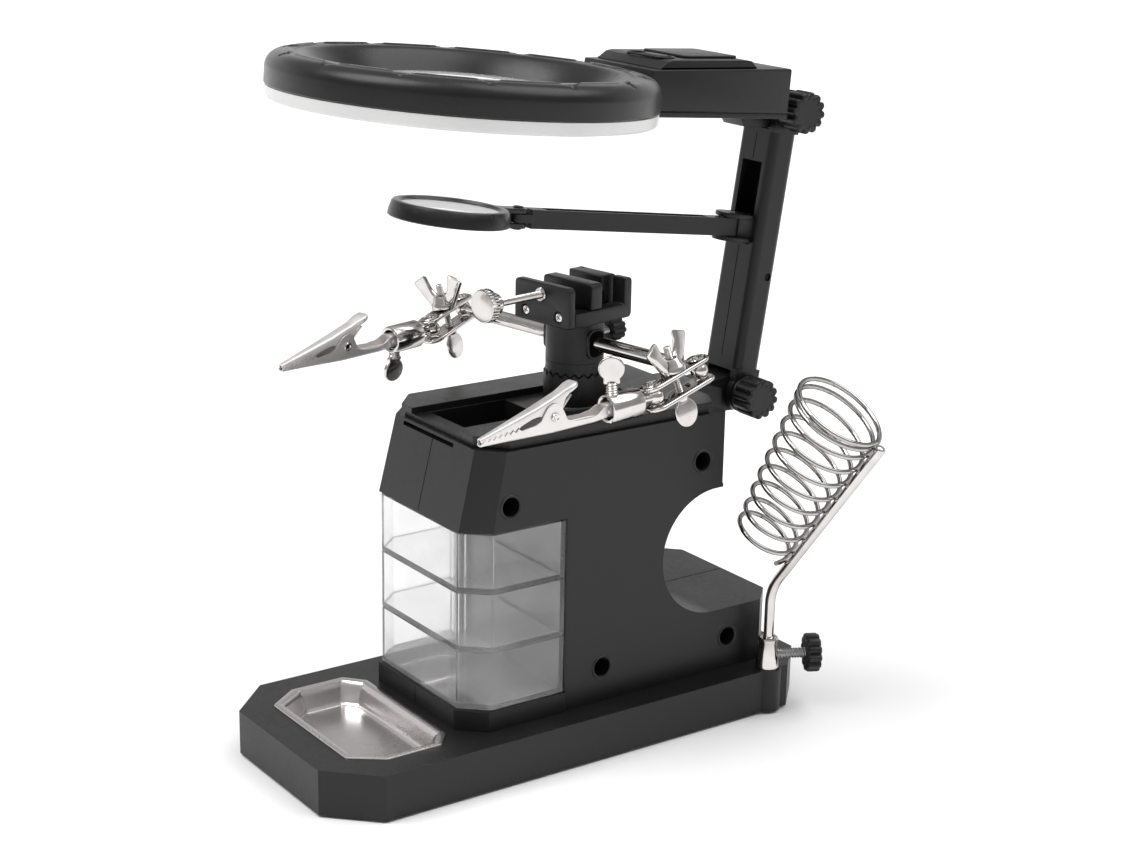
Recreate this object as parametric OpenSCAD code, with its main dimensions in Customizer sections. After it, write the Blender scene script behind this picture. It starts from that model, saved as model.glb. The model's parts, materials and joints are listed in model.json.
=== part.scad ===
// Soldering iron station: weighted base, parts trays, vise, helping hands and two magnifiers.
// Origin: centre of the base's underside. +X is the iron holder's side, +Y is the mast's side.

/* [Base] */
// Half width of the base slab
base_half_w = 50; // [46:1:56]
// Half length of the base slab
base_half_l = 114; // [112:1:120]
// Height of the base's top face
base_top = 18.2; // [17.6:0.2:19]
// Drop of the rubber feet below the slab
foot_drop = 1; // [0.5:0.5:2]
// Moulded wall thickness
wall = 2.4; // [1.8:0.2:3]

/* [Steel tray] */
// Half width of the steel tray's rim
pan_half_w = 38.3; // [30:0.1:40]
// Front edge of the rim
pan_front = -100.5; // [-104:0.5:-96]
// Rear edge of the rim
pan_rear = -57; // [-66:0.5:-56]
// Depth of the pan below the base's top
pan_depth = 9.5; // [6:0.5:11]
// Sheet thickness
pan_sheet = 0.6; // [0.4:0.1:1]

/* [Housing] */
// Half width of the housing
house_half_w = 37.5; // [36:0.5:40]
// Height of the plinth under the parts trays
plinth_top = 26.3; // [25:0.1:27]
// Underside of the upper housing, above the parts trays
bay_top = 98.8; // [98.6:0.1:99.4]
// Top of the housing
house_top = 130.1; // [129:0.1:131]
// Radius of the round notch in the housing's back
notch_r = 26.7; // [22:0.1:28]
// Radius of the screw holes in the housing's sides
screw_hole_r = 3.8; // [3.4:0.1:4.2]

/* [Parts trays] */
// Spacing of the three trays
tray_pitch = 24; // [23.7:0.1:24]
// Height of one tray
tray_h = 23.5; // [20:0.1:23.6]
// Wall thickness of a tray
tray_wall = 1.5; // [1:0.1:2]

/* [Turret and vise] */
// Radius of the fixed post
post_r = 12.4; // [12:0.1:14]
// Height of the seam between the post and the turret
turret_z = 145.5; // [143:0.1:147]
// Resting turn of the turret about the post, degrees
turret_turn = 10; // [0:1:20]
// Height of the cross rod's axis
rod_z = 158.65; // [156:0.05:160]
// Radius of the cross rod
rod_r = 3; // [2.4:0.1:3.2]
// Half distance between the cross rod's balls
ball_t = 66; // [60:1:72]

/* [Helping hands] */
// Radius of the joint balls
ball_r = 3.4; // [3:0.1:3.5]
// Distance between the two balls held by one clamp
clamp_l = 24; // [22:0.5:26]
// Distance from a hand's ball to the clip's tip
clip_reach = 80; // [76:1:84]

/* [Mast] */
// Backward lean of the mast, degrees
mast_lean = 8.7; // [6:0.1:10]
// Distance between the mast's two hinges
mast_l = 119; // [116:0.5:124]
// Half width of the mast
mast_half_w = 11; // [10.5:0.1:12]
// Half depth of the mast
mast_half_d = 6.4; // [6:0.1:7]
// Height of the small lens's carriage above the lower hinge
carriage_w = 68.4; // [68:0.1:72]

/* [Magnifiers] */
// Radius of the main ring
ring_r = 73.6; // [72:0.1:76]
// Radius of the main lens
lens_r = 51; // [46:0.5:52]
// Forward rise of the main head, degrees
head_pitch = 4.58; // [2:0.01:6]
// Radius of the small lens's ring
aux_r = 23.5; // [21:0.5:25]

/* [Iron holder] */
// Radius of the holder's rod
holder_rod_r = 2.1; // [1.9:0.05:2.2]
// Radius of the coil's wire
coil_wire_r = 1; // [0.8:0.1:1.2]
// Largest radius of the coil
coil_r = 20; // [18:0.5:21]
// Turns of the coil
coil_turns = 9; // [7:1:10]

/* [Hidden] */
$fn = 48;
eps = 0.01;
run_fit = 0.05;
gap = 0.3;
house_rear = 102.8;
upper_rear = 70.5;
bay_rear = -6.7;
plinth_half_w = 38.5;
plinth_front = -52.6;
notch_y = 67.4;
notch_z = 71.5;
side_screws = [[-32.9, 108.2], [59.4, 110.9], [75.8, 31.9], [11.6, 32.8]];
plate_t = 2;
base_screw_x = 41;
base_screw_y = [-70, 50];
tray_front = -51.1;
tray_rear = -7;
tray_half_w = 37.4;
tray_pin_r = 1.5;
tray_pin_at = [-34.2, tray_rear - 3.2];
deck_top = 134.8;
deck_panel = 132;
deck_half_w = 36.5;
deck_front = -42.8;
deck_rear = 69;
deck_inner = 18.4;
well_x = [-17.5, 7];
well_y = [-34.5, 0.3];
well_floor = 115.6;
post_y = 22;
post_bore = 4;
turret_r = 11.7;
vise_z = 167.5;
vise_top = 183.7;
vise_half_w = 15.2;
vise_rear = 16.25;
vise_left = 12;
vise_screw_x = -0.8;
vise_screw_z = 179;
vise_screw_r = 1.5;
hinge_y = 102;
hinge_z = 126.4;
knuckle_r = 8;
hinge_bolt_r = 2;
ear_in = 7.3;
mast_foot = 9;
mast_body_top = 110;
mast_edge_r = 3.4;
mast_screw_v = 2.4;
mast_screw_w = 49.5;
slot_low = 62;
slot_high = 96.2;
slot_half = 6.1;
carriage_pin_v = -12.7;
aux_pitch = 7.4;
aux_yaw = -0.84;
aux_reach = 136.7;
aux_joint = 106;
head_hinge_v = 151.9;
head_hinge_w = -2.1;
// Centre of the main ring, placed so that the head's hinge falls on the mast's upper hinge
ring_y = hinge_y + mast_l * sin(mast_lean) - head_hinge_v * cos(head_pitch)
    - head_hinge_w * sin(head_pitch);
ring_z = hinge_z + mast_l * cos(mast_lean) + head_hinge_v * sin(head_pitch)
    - head_hinge_w * cos(head_pitch);
socket_x = 46.7;
socket_y = 90.5;
socket_top = 31.7;
holder_knob_z = 24;
holder_knob_turn = 62;
holder_bend_z = 53;
holder_turn = 20;
holder_rise = 56.3;
holder_l = 84;
clamp_half_w = 4.9;
wing_turn = 12;
collar_from = 8.5;
collar_to = 23.5;
collar_outer_r = 5.6;
collar_screw_t = 20.5;
clip_pivot_at = [49, 0, 3.6];
coil_pitch = 8.4;
coil_start = 8;
coil_steps = 20;
wire_sides = 8;
// Hands: clamp turn, drop and roll, clip turn, drop and roll, and the collar screw's side
right_hand = [8, 14.6, 11, 2.3, 3.2, 0, 1];
left_hand = [25.2, 10, 11, 11.7, 1.4, -6, -1];

// ---- Frames -------------------------------------------------------------

module in_mast() {
    translate([0, hinge_y, hinge_z]) rotate([-mast_lean, 0, 0]) children();
}

module in_aux() {
    in_mast()
        translate([0, carriage_pin_v, carriage_w])
            rotate([mast_lean - aux_pitch, 0, 0])
                rotate([0, 0, aux_yaw])
                    children();
}

module in_head() {
    translate([0, ring_y, ring_z]) rotate([-head_pitch, 0, 0]) children();
}

module in_turret() {
    translate([0, post_y, 0]) rotate([0, 0, turret_turn]) children();
}

// Clamp plates: +X runs from the rod's ball to the hand's ball, +Z is the plates' normal
module in_clamp(side, hand) {
    in_turret()
        translate([side * ball_t, 0, rod_z])
            rotate([0, 0, -turret_turn - 90 + hand[0]])
                rotate([0, hand[1], 0])
                    rotate([hand[2], 0, 0])
                        children();
}

// Hand: +X runs from the hand's ball to the clip's tip, +Z is the jaw's opening side
module in_hand(side, hand) {
    in_clamp(side, hand)
        translate([clamp_l, 0, 0])
            rotate([-hand[2], 0, 0])
                rotate([0, -hand[1], 0])
                    rotate([0, 0, hand[3] - hand[0]])
                        rotate([0, hand[4], 0])
                            rotate([hand[5], 0, 0])
                                children();
}

module in_holder() {
    translate([socket_x, socket_y, holder_bend_z])
        rotate([0, 0, holder_turn])
            rotate([0, 90 - holder_rise, 0])
                children();
}

// ---- Shared shapes ------------------------------------------------------

// Outline with four cut corners; front and rear cuts are [across, along]
module cut_outline(half_w, front, rear, front_cut, rear_cut) {
    polygon([
        [-half_w + front_cut[0], front],
        [half_w - front_cut[0], front],
        [half_w, front + front_cut[1]],
        [half_w, rear - rear_cut[1]],
        [half_w - rear_cut[0], rear],
        [-half_w + rear_cut[0], rear],
        [-half_w, rear - rear_cut[1]],
        [-half_w, front + front_cut[1]]
    ]);
}

module slab(low, high) {
    translate([0, 0, low]) linear_extrude(high - low) children();
}

module box(low, high) {
    translate(low) cube(high - low);
}

// Round bar along X
module bar_x(r, x0, x1) {
    translate([x0, 0, 0]) rotate([0, 90, 0]) cylinder(r = r, h = x1 - x0);
}

// Fluted knob whose axis is Z, its back at z = 0
module fluted_knob(r, h, lobes) {
    difference() {
        cylinder(r = r, h = h);
        for (i = [0 : lobes - 1])
            rotate([0, 0, i * 360 / lobes])
                translate([r + 0.7, 0, -eps])
                    cylinder(r = 1.3, h = h + 2 * eps, $fn = 24);
    }
}

// Flat thumb disc that stands along Z from z = 0, its face normal to Y
module thumb_disc(r, thick) {
    translate([0, thick / 2, r * 0.9]) rotate([90, 0, 0]) cylinder(r = r, h = thick);
}

// ---- Base ---------------------------------------------------------------

module base_outline(inset) {
    cut_outline(base_half_w - inset, -base_half_l + inset, base_half_l - inset,
        [18 - inset * 0.6, 18.4 - inset * 0.6], [15 - inset * 0.6, 15 - inset * 0.6]);
}

module pan_outline(inset) {
    cut_outline(pan_half_w - inset, pan_front + inset, pan_rear - inset,
        [9.5 - inset * 0.5, 13 - inset * 0.5], [8 - inset * 0.5, 7 - inset * 0.5]);
}

module base_screw_places() {
    for (x = [-1, 1], y = base_screw_y)
        translate([x * base_screw_x, y, 0]) children();
}

module base_shell() {
    color("dimgray")
    difference() {
        union() {
            difference() {
                slab(0, base_top) base_outline(0);
                slab(-eps, base_top - wall) base_outline(wall);
            }
            // Pocket that the steel tray drops into
            slab(base_top - pan_depth - 3, base_top - eps) pan_outline(0.4);
            // Boss under the iron holder's socket
            translate([socket_x, socket_y, 0]) cylinder(r = 6, h = base_top);
            base_screw_places() translate([0, 0, plate_t])
                cylinder(r = 3.4, h = base_top - wall - plate_t + eps);
        }
        slab(base_top - pan_depth - 1, base_top + eps) pan_outline(2.2);
        translate([socket_x, socket_y, base_top - 8]) cylinder(r = 3.5, h = 8 + eps);
        base_screw_places() cylinder(r = 1.5, h = 12);
    }
}

module base_bottom_plate() {
    color("dimgray")
    difference() {
        slab(0, plate_t) base_outline(wall + 0.2);
        base_screw_places() translate([0, 0, -eps]) cylinder(r = 1.7, h = 3);
        base_screw_places() translate([0, 0, -eps]) cylinder(r = 3.1, h = 1.2);
        foot_places() translate([0, 0, -eps]) cylinder(r = 6, h = 1);
        translate([socket_x, socket_y, -1]) cylinder(r = 6.2, h = 4);
    }
}

module foot_places() {
    for (x = [-1, 1], y = [-88, 84])
        translate([x * 36, y, 0]) children();
}

module rubber_feet() {
    color("black") foot_places() translate([0, 0, -foot_drop])
        cylinder(r = 5.8, h = foot_drop + 0.9);
}

// Screw along +Z, head at the bottom
module case_screw(head_r, head_h, shank_r, shank_l) {
    cylinder(r = head_r, h = head_h);
    translate([0, 0, head_h - eps]) cylinder(r = shank_r, h = shank_l);
}

module case_screws() {
    color("silver") {
        base_screw_places() translate([0, 0, 0.1]) case_screw(2.9, 1, 1.45, 9);
        for (s = side_screws)
            translate([10.5, s[0], s[1]]) rotate([0, -90, 0]) case_screw(2.9, 2.4, 1.45, 18);
    }
}

module steel_tray() {
    low = base_top - pan_depth;
    color("silver")
    difference() {
        union() {
            slab(base_top + eps, base_top + pan_sheet) pan_outline(0);
            hull() {
                slab(base_top - eps, base_top + pan_sheet) pan_outline(2.6);
                slab(low, low + eps) pan_outline(5.6);
            }
        }
        hull() {
            slab(base_top + pan_sheet, base_top + pan_sheet + eps) pan_outline(3.2);
            slab(low + pan_sheet, low + pan_sheet + eps) pan_outline(6.2);
        }
    }
}

// ---- Housing ------------------------------------------------------------

module upper_block(inset) {
    hull() {
        slab(bay_top + inset, bay_top + inset + eps)
            cut_outline(house_half_w - inset, -51.3 + inset, upper_rear - inset,
                [8 - inset * 0.5, 10.6 - inset * 0.5], [0.5, 0.5]);
        slab(house_top - inset - eps, house_top - inset)
            cut_outline(house_half_w - inset, -43.8 + inset, upper_rear - inset,
                [8.8 - inset * 0.5, 8.8 - inset * 0.5], [0.5, 0.5]);
    }
}

module notch(grow) {
    translate([-house_half_w - 1, notch_y, notch_z]) bar_x(notch_r + grow, 0, 2 * house_half_w + 2);
    box([-house_half_w - 1, notch_y, notch_z - notch_r - grow],
        [house_half_w + 1, house_rear + 1, notch_z + notch_r + grow]);
    box([-house_half_w - 1, upper_rear - grow, notch_z],
        [house_half_w + 1, house_rear + 1, house_top]);
}

module lower_outline(inset) {
    cut_outline(house_half_w - inset, bay_rear + inset, house_rear - inset,
        [0.5, 0.5], [9.7 - inset * 0.5, 9.7 - inset * 0.5]);
}

module housing_solid(inset) {
    difference() {
        union() {
            slab(base_top + inset, plinth_top - inset)
                cut_outline(plinth_half_w - inset, plinth_front + inset, bay_rear + 0.5,
                    [10 - inset * 0.5, 10 - inset * 0.5], [0.5, 0.5]);
            slab(base_top + inset, bay_top + inset + 1) lower_outline(inset);
            upper_block(inset);
        }
        notch(inset);
    }
}

module side_towers() {
    for (s = side_screws)
        translate([0, s[0], s[1]]) bar_x(screw_hole_r + 1.4, -house_half_w + 1, house_half_w - 1);
}

module housing() {
    difference() {
        union() {
            difference() {
                housing_solid(0);
                housing_solid(wall);
            }
            intersection() {
                side_towers();
                housing_solid(0.5);
            }
        }
        // Screw holes: wide from the right side, narrow in the left half
        for (s = side_screws)
            translate([0, s[0], s[1]]) {
                bar_x(screw_hole_r, 8, house_half_w + 1);
                bar_x(1.6, -16, 9);
            }
        // Opening for the deck's well and bolt, and the slit under the front edge
        box([well_x[0] - 2.2, well_y[0] - 2.2, house_top - wall - 1],
            [well_x[1] + 2.2, well_y[1] + 2.2, house_top + 1]);
        translate([0, post_y, house_top - wall - 1]) cylinder(r = post_bore, h = wall + 2);
        box([-22, -46, 127.4], [14.5, -41.5, 129]);
        // Holes for the trays' pin
        translate([tray_pin_at[0], tray_pin_at[1], plinth_top - wall - 1])
            cylinder(r = tray_pin_r, h = bay_top + wall - plinth_top + wall + 2);
    }
}

module housing_right() {
    color("dimgray") intersection() {
        housing();
        box([0, -60, 0], [60, 110, 140]);
    }
}

module housing_left() {
    color("dimgray") intersection() {
        housing();
        box([-60, -60, 0], [0, 110, 140]);
    }
}

module deck_outline(inset) {
    cut_outline(deck_half_w - inset, deck_front + inset, deck_rear - inset,
        [10.5, 9.5], [9, 5]);
}

module top_deck() {
    color("dimgray")
    difference() {
        union() {
            slab(house_top, house_top + 2.2 + eps) deck_outline(1);
            slab(house_top + 2.2, deck_top) deck_outline(0);
            box([well_x[0] - 2, well_y[0] - 2, well_floor - 2],
                [well_x[1] + 2, well_y[1] + 2, deck_panel]);
        }
        // Sunken panel, open at the front and ending in cut corners behind the post
        slab(deck_panel, deck_top + 1)
            cut_outline(deck_inner, deck_front - 1, 44, [0.1, 0.1], [7, 7]);
        box([well_x[0], well_y[0], well_floor], [well_x[1], well_y[1], deck_top + 1]);
        translate([0, post_y, house_top - 1]) cylinder(r = post_bore, h = 8);
    }
}

module tray_pin() {
    color("silver")
        translate([tray_pin_at[0], tray_pin_at[1], plinth_top - wall])
            cylinder(r = tray_pin_r, h = bay_top - plinth_top + 2 * wall);
}

module parts_tray(index) {
    low = plinth_top + gap + index * tray_pitch;
    color("whitesmoke", 0.5)
    difference() {
        union() {
            difference() {
                slab(low, low + tray_h) tray_outline(0);
                slab(low + tray_wall, low + tray_h + 1) tray_outline(tray_wall);
            }
            translate([tray_pin_at[0], tray_pin_at[1], low]) cylinder(r = 3.2, h = tray_h);
        }
        translate([tray_pin_at[0], tray_pin_at[1], low - 1])
            cylinder(r = tray_pin_r + run_fit, h = tray_h + 2);
    }
}

// Tray outline whose rear left corner is round about the pin
module tray_outline(inset) {
    difference() {
        cut_outline(tray_half_w - inset, tray_front + inset, tray_rear - inset,
            [9.4 - inset * 0.5, 10.4 - inset * 0.5], [0.5, 0.5]);
        translate([-tray_half_w - 1, tray_pin_at[1]]) square([1 + 3.2, 9]);
    }
    intersection() {
        translate(tray_pin_at) circle(r = 3.2 - inset);
        translate([-tray_half_w - 1, tray_pin_at[1]]) square([1 + 3.3, 9]);
    }
}

module tray_bottom() { parts_tray(0); }
module tray_middle() { parts_tray(1); }
module tray_top() { parts_tray(2); }

// Neck behind the housing that carries the mast's lower hinge
module mast_bracket() {
    color("dimgray")
    difference() {
        union() {
            translate([-13, 0, 0]) rotate([90, 0, 90]) linear_extrude(26)
                polygon([[upper_rear, 118.5], [80, 118.5], [88, 121], [88, 131], [80, 133.6],
                    [upper_rear, 133.6]]);
            translate([-ear_in + gap, 0, 0]) rotate([90, 0, 90]) linear_extrude(2 * (ear_in - gap))
                polygon([[84, 119.5], [hinge_y, hinge_z - knuckle_r], [hinge_y, hinge_z + knuckle_r],
                    [84, 132.5]]);
            translate([0, hinge_y, hinge_z]) bar_x(knuckle_r, -ear_in + gap, ear_in - gap);
        }
        translate([0, hinge_y, hinge_z]) bar_x(hinge_bolt_r + run_fit, -20, 20);
    }
}

// ---- Post, turret and vise ----------------------------------------------

module post_lower() {
    color("dimgray")
    translate([0, post_y, deck_panel]) difference() {
        cylinder(r = post_r, h = turret_z - deck_panel);
        translate([0, 0, -1]) cylinder(r = post_bore, h = 20);
    }
}

module turret() {
    color("dimgray")
    in_turret() difference() {
        union() {
            translate([0, 0, turret_z + gap]) cylinder(r = turret_r, h = vise_z - turret_z - gap);
            // Bosses round the rod's mouths
            translate([-turret_r - 1.6, -5.2, rod_z - 6.5]) cube([2 * turret_r + 3.2, 10.4, 13]);
        }
        translate([0, 0, turret_z]) cylinder(r = post_bore + run_fit, h = 4);
        translate([0, 0, rod_z]) {
            bar_x(rod_r + run_fit, -20, 20);
            // Tall mouths where the rod comes out
            for (side = [-1, 1])
                translate([side * turret_r, 0, 0])
                    cube([5, 2 * rod_r + 1.2, 9.5], center = true);
            // Tapped hole for the clamp knob, behind
            rotate([-90, 0, 0]) cylinder(r = 2 + run_fit, h = 20);
        }
        for (side = [-1, 1])
            translate([side * 8, 7.5, vise_z - 4]) cylinder(r = 1.2, h = 5);
    }
}

// Bolt that holds the turret on the post, headed below the deck
module turret_bolt() {
    color("silver") translate([0, post_y, 0]) {
        translate([0, 0, house_top - wall - 3.5]) cylinder(r = 6.5, h = 3.5);
        translate([0, 0, house_top - wall - eps])
            cylinder(r = post_bore, h = turret_z + 3.8 - house_top + wall);
    }
}

module vise_body() {
    color("dimgray")
    in_turret() difference() {
        union() {
            box([-vise_left, -15.4, vise_z], [vise_half_w, vise_rear, 173]);
            box([-vise_left, 8, vise_z], [vise_half_w, vise_rear, vise_top]);
        }
        // Guide groove for the sliding jaw
        box([-8.3, -16, 169.5], [8.3, 8, 174]);
        // Step in the rear jaw's face
        box([-vise_half_w - 1, 7, 173], [vise_half_w + 1, 9.8, 177]);
        // Upright notch for round work
        box([6, 7, 172], [9.5, 9.8, vise_top + 1]);
        for (x = [-9.1, 9.1])
            translate([x, -15.5, 171.4]) rotate([-90, 0, 0]) cylinder(r = 1.1, h = 8, $fn = 24);
    }
}

module vise_front_plate() {
    color("dimgray")
    in_turret() difference() {
        box([-vise_half_w, -18.9, vise_z], [vise_half_w, -15.4, vise_top]);
        translate([vise_screw_x, -20, vise_screw_z]) rotate([-90, 0, 0]) cylinder(r = vise_screw_r + run_fit, h = 6);
        for (x = [-9.1, 9.1])
            translate([x, -20, 171.4]) rotate([-90, 0, 0]) {
                cylinder(r = 1.2, h = 6, $fn = 24);
                cylinder(r = 2.1, h = 2.4, $fn = 24);
            }
    }
}

module vise_plate_screws() {
    color("silver") in_turret()
        for (x = [-9.1, 9.1])
            translate([x, -18.8, 171.4]) rotate([-90, 0, 0]) {
                cylinder(r = 2, h = 1.2, $fn = 24);
                cylinder(r = 1.05, h = 9, $fn = 24);
            }
}

module vise_jaw() {
    color("dimgray")
    in_turret() difference() {
        union() {
            box([-vise_left, -6.4, 173.3], [vise_half_w, -0.5, vise_top]);
            box([-8, -6.4, 169.8], [8, -0.5, 174]);
        }
        translate([vise_screw_x, -7, vise_screw_z]) rotate([-90, 0, 0]) cylinder(r = vise_screw_r + run_fit, h = 3.4);
    }
}

module vise_screw() {
    color("silver")
    in_turret() translate([vise_screw_x, -53, vise_screw_z]) rotate([-90, 0, 0]) {
        cylinder(r = 6.6, h = 4);
        translate([0, 0, 4 - eps]) cylinder(r = 4.2, h = 4);
        translate([0, 0, 8 - eps]) cylinder(r = vise_screw_r, h = 41);
    }
}

module cross_rod() {
    color("silver")
    in_turret() translate([0, 0, rod_z]) {
        bar_x(rod_r, -ball_t + 8.4, ball_t - 8.4);
        for (side = [-1, 1]) {
            translate([side * ball_t, 0, 0]) sphere(r = ball_r);
            translate([side * (ball_t - 5.2), 0, 0]) rotate([0, 90, 0])
                cylinder(r = 1.6, h = 7.4, center = true);
        }
    }
}

module rod_clamp_knob() {
    color("dimgray")
    in_turret() translate([0, 0, rod_z]) {
        translate([0, 18, 0]) rotate([-90, 0, 0]) fluted_knob(4.9, 7.2, 12);
        translate([0, rod_r + 0.1, 0]) rotate([-90, 0, 0]) cylinder(r = 2, h = 16);
    }
}

// ---- Helping hands ------------------------------------------------------

module clamp_plate(z0) {
    difference() {
        translate([0, 0, z0]) linear_extrude(1.6) union() {
            circle(r = clamp_half_w);
            translate([0, -clamp_half_w]) square([clamp_l, 2 * clamp_half_w]);
            translate([clamp_l, 0]) circle(r = clamp_half_w);
        }
        for (x = [0, clamp_l])
            translate([x, 0, z0 - 1]) cylinder(r = 1.9, h = 4, $fn = 32);
        translate([clamp_l / 2, 0, z0 - 1]) cylinder(r = 1.6, h = 4, $fn = 32);
    }
}

module clamp_plates(side, hand) {
    color("silver") in_clamp(side, hand) {
        clamp_plate(3.2);
        clamp_plate(-4.8);
    }
}

module thumb_bolt(side, hand) {
    color("silver") in_clamp(side, hand) translate([clamp_l / 2, 0, 0]) {
        translate([0, 0, -6.4]) cylinder(r = 1.5, h = 21.4, $fn = 32);
        translate([0, 0, -4.8]) mirror([0, 0, 1]) cylinder(r = 2.4, h = 2);
        translate([0, 0, -6.2]) mirror([0, 0, 1]) thumb_disc(5.5, 1.4);
    }
}

module wing_nut(side, hand) {
    color("silver") in_clamp(side, hand) translate([clamp_l / 2, 0, 4.9]) difference() {
        union() {
            cylinder(r = 4.2, h = 2.2);
            translate([0, 0, 2]) cylinder(r = 3.3, h = 3.4);
            // Two wings that lean outwards
            for (way = [0, 180])
                rotate([0, 0, wing_turn + way]) translate([3, 0, 1.6]) rotate([0, 33, 0])
                    translate([0, 1, 0]) rotate([90, 0, 0]) linear_extrude(2) union() {
                        translate([0, 10]) circle(r = 3);
                        translate([-1.6, 0]) square([4, 10]);
                    }
        }
        translate([0, 0, -1]) cylinder(r = 1.5 + run_fit, h = 20, $fn = 32);
    }
}

module collar(side, hand) {
    color("silver") in_hand(side, hand) {
        difference() {
            union() {
                sphere(r = ball_r);
                bar_x(1.7, 2, 9);
                bar_x(collar_outer_r, collar_from, collar_to);
            }
            bar_x(2.95, collar_from + 2.5, collar_to + 1);
            translate([collar_screw_t, 0, 0]) mirror([0, 0, hand[6] < 0 ? 1 : 0])
                cylinder(r = 1.5 + run_fit, h = 8, $fn = 32);
        }
    }
}

module collar_screw(side, hand) {
    color("silver") in_hand(side, hand) translate([collar_screw_t, 0, 0])
        mirror([0, 0, hand[6] < 0 ? 1 : 0]) {
            translate([0, 0, 3]) cylinder(r = 1.5, h = 9, $fn = 32);
            translate([0, 0, 10.5]) cylinder(r = 2.3, h = 2);
            translate([0, 0, 11.5]) thumb_disc(5.2, 1.6);
        }
}

// Channel that narrows to the tip; wide is the half width at the pivot
module jaw_taper(wide, narrow) {
    hull() {
        box([24, -wide, -10], [50, wide, 16]);
        box([clip_reach - 0.2, -narrow, -10], [clip_reach, narrow, 16]);
    }
}

module clip_lower(side, hand) {
    color("silver") in_hand(side, hand) difference() {
        union() {
            intersection() {
                difference() {
                    jaw_taper(3.4, 1.4);
                    translate([0, 0, 0]) jaw_taper(2.8, 0.8);
                }
                rotate([90, 0, 0]) linear_extrude(10, center = true)
                    polygon([[80, -1.2], [80, 0.4], [62, 1.8], [55, 4.2], [53, 7.4], [49, 8.6],
                        [45.6, 6.6], [44, 2.4], [36, 0.6], [30, 1.8], [24, 2.4], [24, -2.6],
                        [32, -2.6], [51, -2.2]]);
            }
            intersection() {
                jaw_taper(3.4, 1.4);
                rotate([90, 0, 0]) linear_extrude(10, center = true)
                    polygon([[80, -1.2], [80, -0.6], [51, -1.6], [32, -2], [24, -2],
                        [24, -2.6], [32, -2.6], [51, -2.2]]);
            }
            bar_x(2.9, collar_from + 2.8, 25);
        }
        translate(clip_pivot_at) rotate([90, 0, 0]) cylinder(r = 1.1, h = 12, center = true, $fn = 24);
    }
}

module clip_upper(side, hand) {
    color("silver") in_hand(side, hand) difference() {
        union() {
            intersection() {
                difference() {
                    jaw_taper(2.5, 1.3);
                    jaw_taper(1.9, 0.7);
                }
                rotate([90, 0, 0]) linear_extrude(10, center = true)
                    polygon([[79.8, 0.8], [79.8, 1.9], [56, 8.2], [37, 14.2], [37, 12], [44, 9.4],
                        [46, 2.6], [48, 1], [51, 1], [54, 4.4], [62, 3]]);
            }
            intersection() {
                jaw_taper(2.5, 1.3);
                rotate([90, 0, 0]) linear_extrude(10, center = true)
                    polygon([[79.8, 1.3], [79.8, 1.9], [56, 8.2], [37, 14.2], [37, 13.6], [56, 7.6]]);
            }
            translate([37, 0, 13.4]) rotate([0, 17, 0]) cylinder(r = 3.6, h = 0.9);
        }
        translate(clip_pivot_at) rotate([90, 0, 0])
            cylinder(r = 0.9 + run_fit, h = 12, center = true, $fn = 24);
    }
}

// Rivet and the coil spring wound round it
module clip_pivot(side, hand) {
    color("silver") in_hand(side, hand) translate(clip_pivot_at) rotate([90, 0, 0]) {
        cylinder(r = 0.9, h = 8, center = true, $fn = 24);
        for (end = [-1, 1])
            translate([0, 0, end * 3.8]) cylinder(r = 1.7, h = 0.7, center = true, $fn = 24);
        difference() {
            cylinder(r = 2.1, h = 3, center = true, $fn = 24);
            cylinder(r = 0.95, h = 4, center = true, $fn = 24);
        }
    }
}

module right_clamp_plates() { clamp_plates(1, right_hand); }
module right_thumb_bolt() { thumb_bolt(1, right_hand); }
module right_wing_nut() { wing_nut(1, right_hand); }
module right_collar() { collar(1, right_hand); }
module right_collar_screw() { collar_screw(1, right_hand); }
module right_clip_lower() { clip_lower(1, right_hand); }
module right_clip_upper() { clip_upper(1, right_hand); }
module right_clip_pivot() { clip_pivot(1, right_hand); }
module left_clamp_plates() { clamp_plates(-1, left_hand); }
module left_thumb_bolt() { thumb_bolt(-1, left_hand); }
module left_wing_nut() { wing_nut(-1, left_hand); }
module left_collar() { collar(-1, left_hand); }
module left_collar_screw() { collar_screw(-1, left_hand); }
module left_clip_lower() { clip_lower(-1, left_hand); }
module left_clip_upper() { clip_upper(-1, left_hand); }
module left_clip_pivot() { clip_pivot(-1, left_hand); }

// ---- Mast ---------------------------------------------------------------

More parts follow.
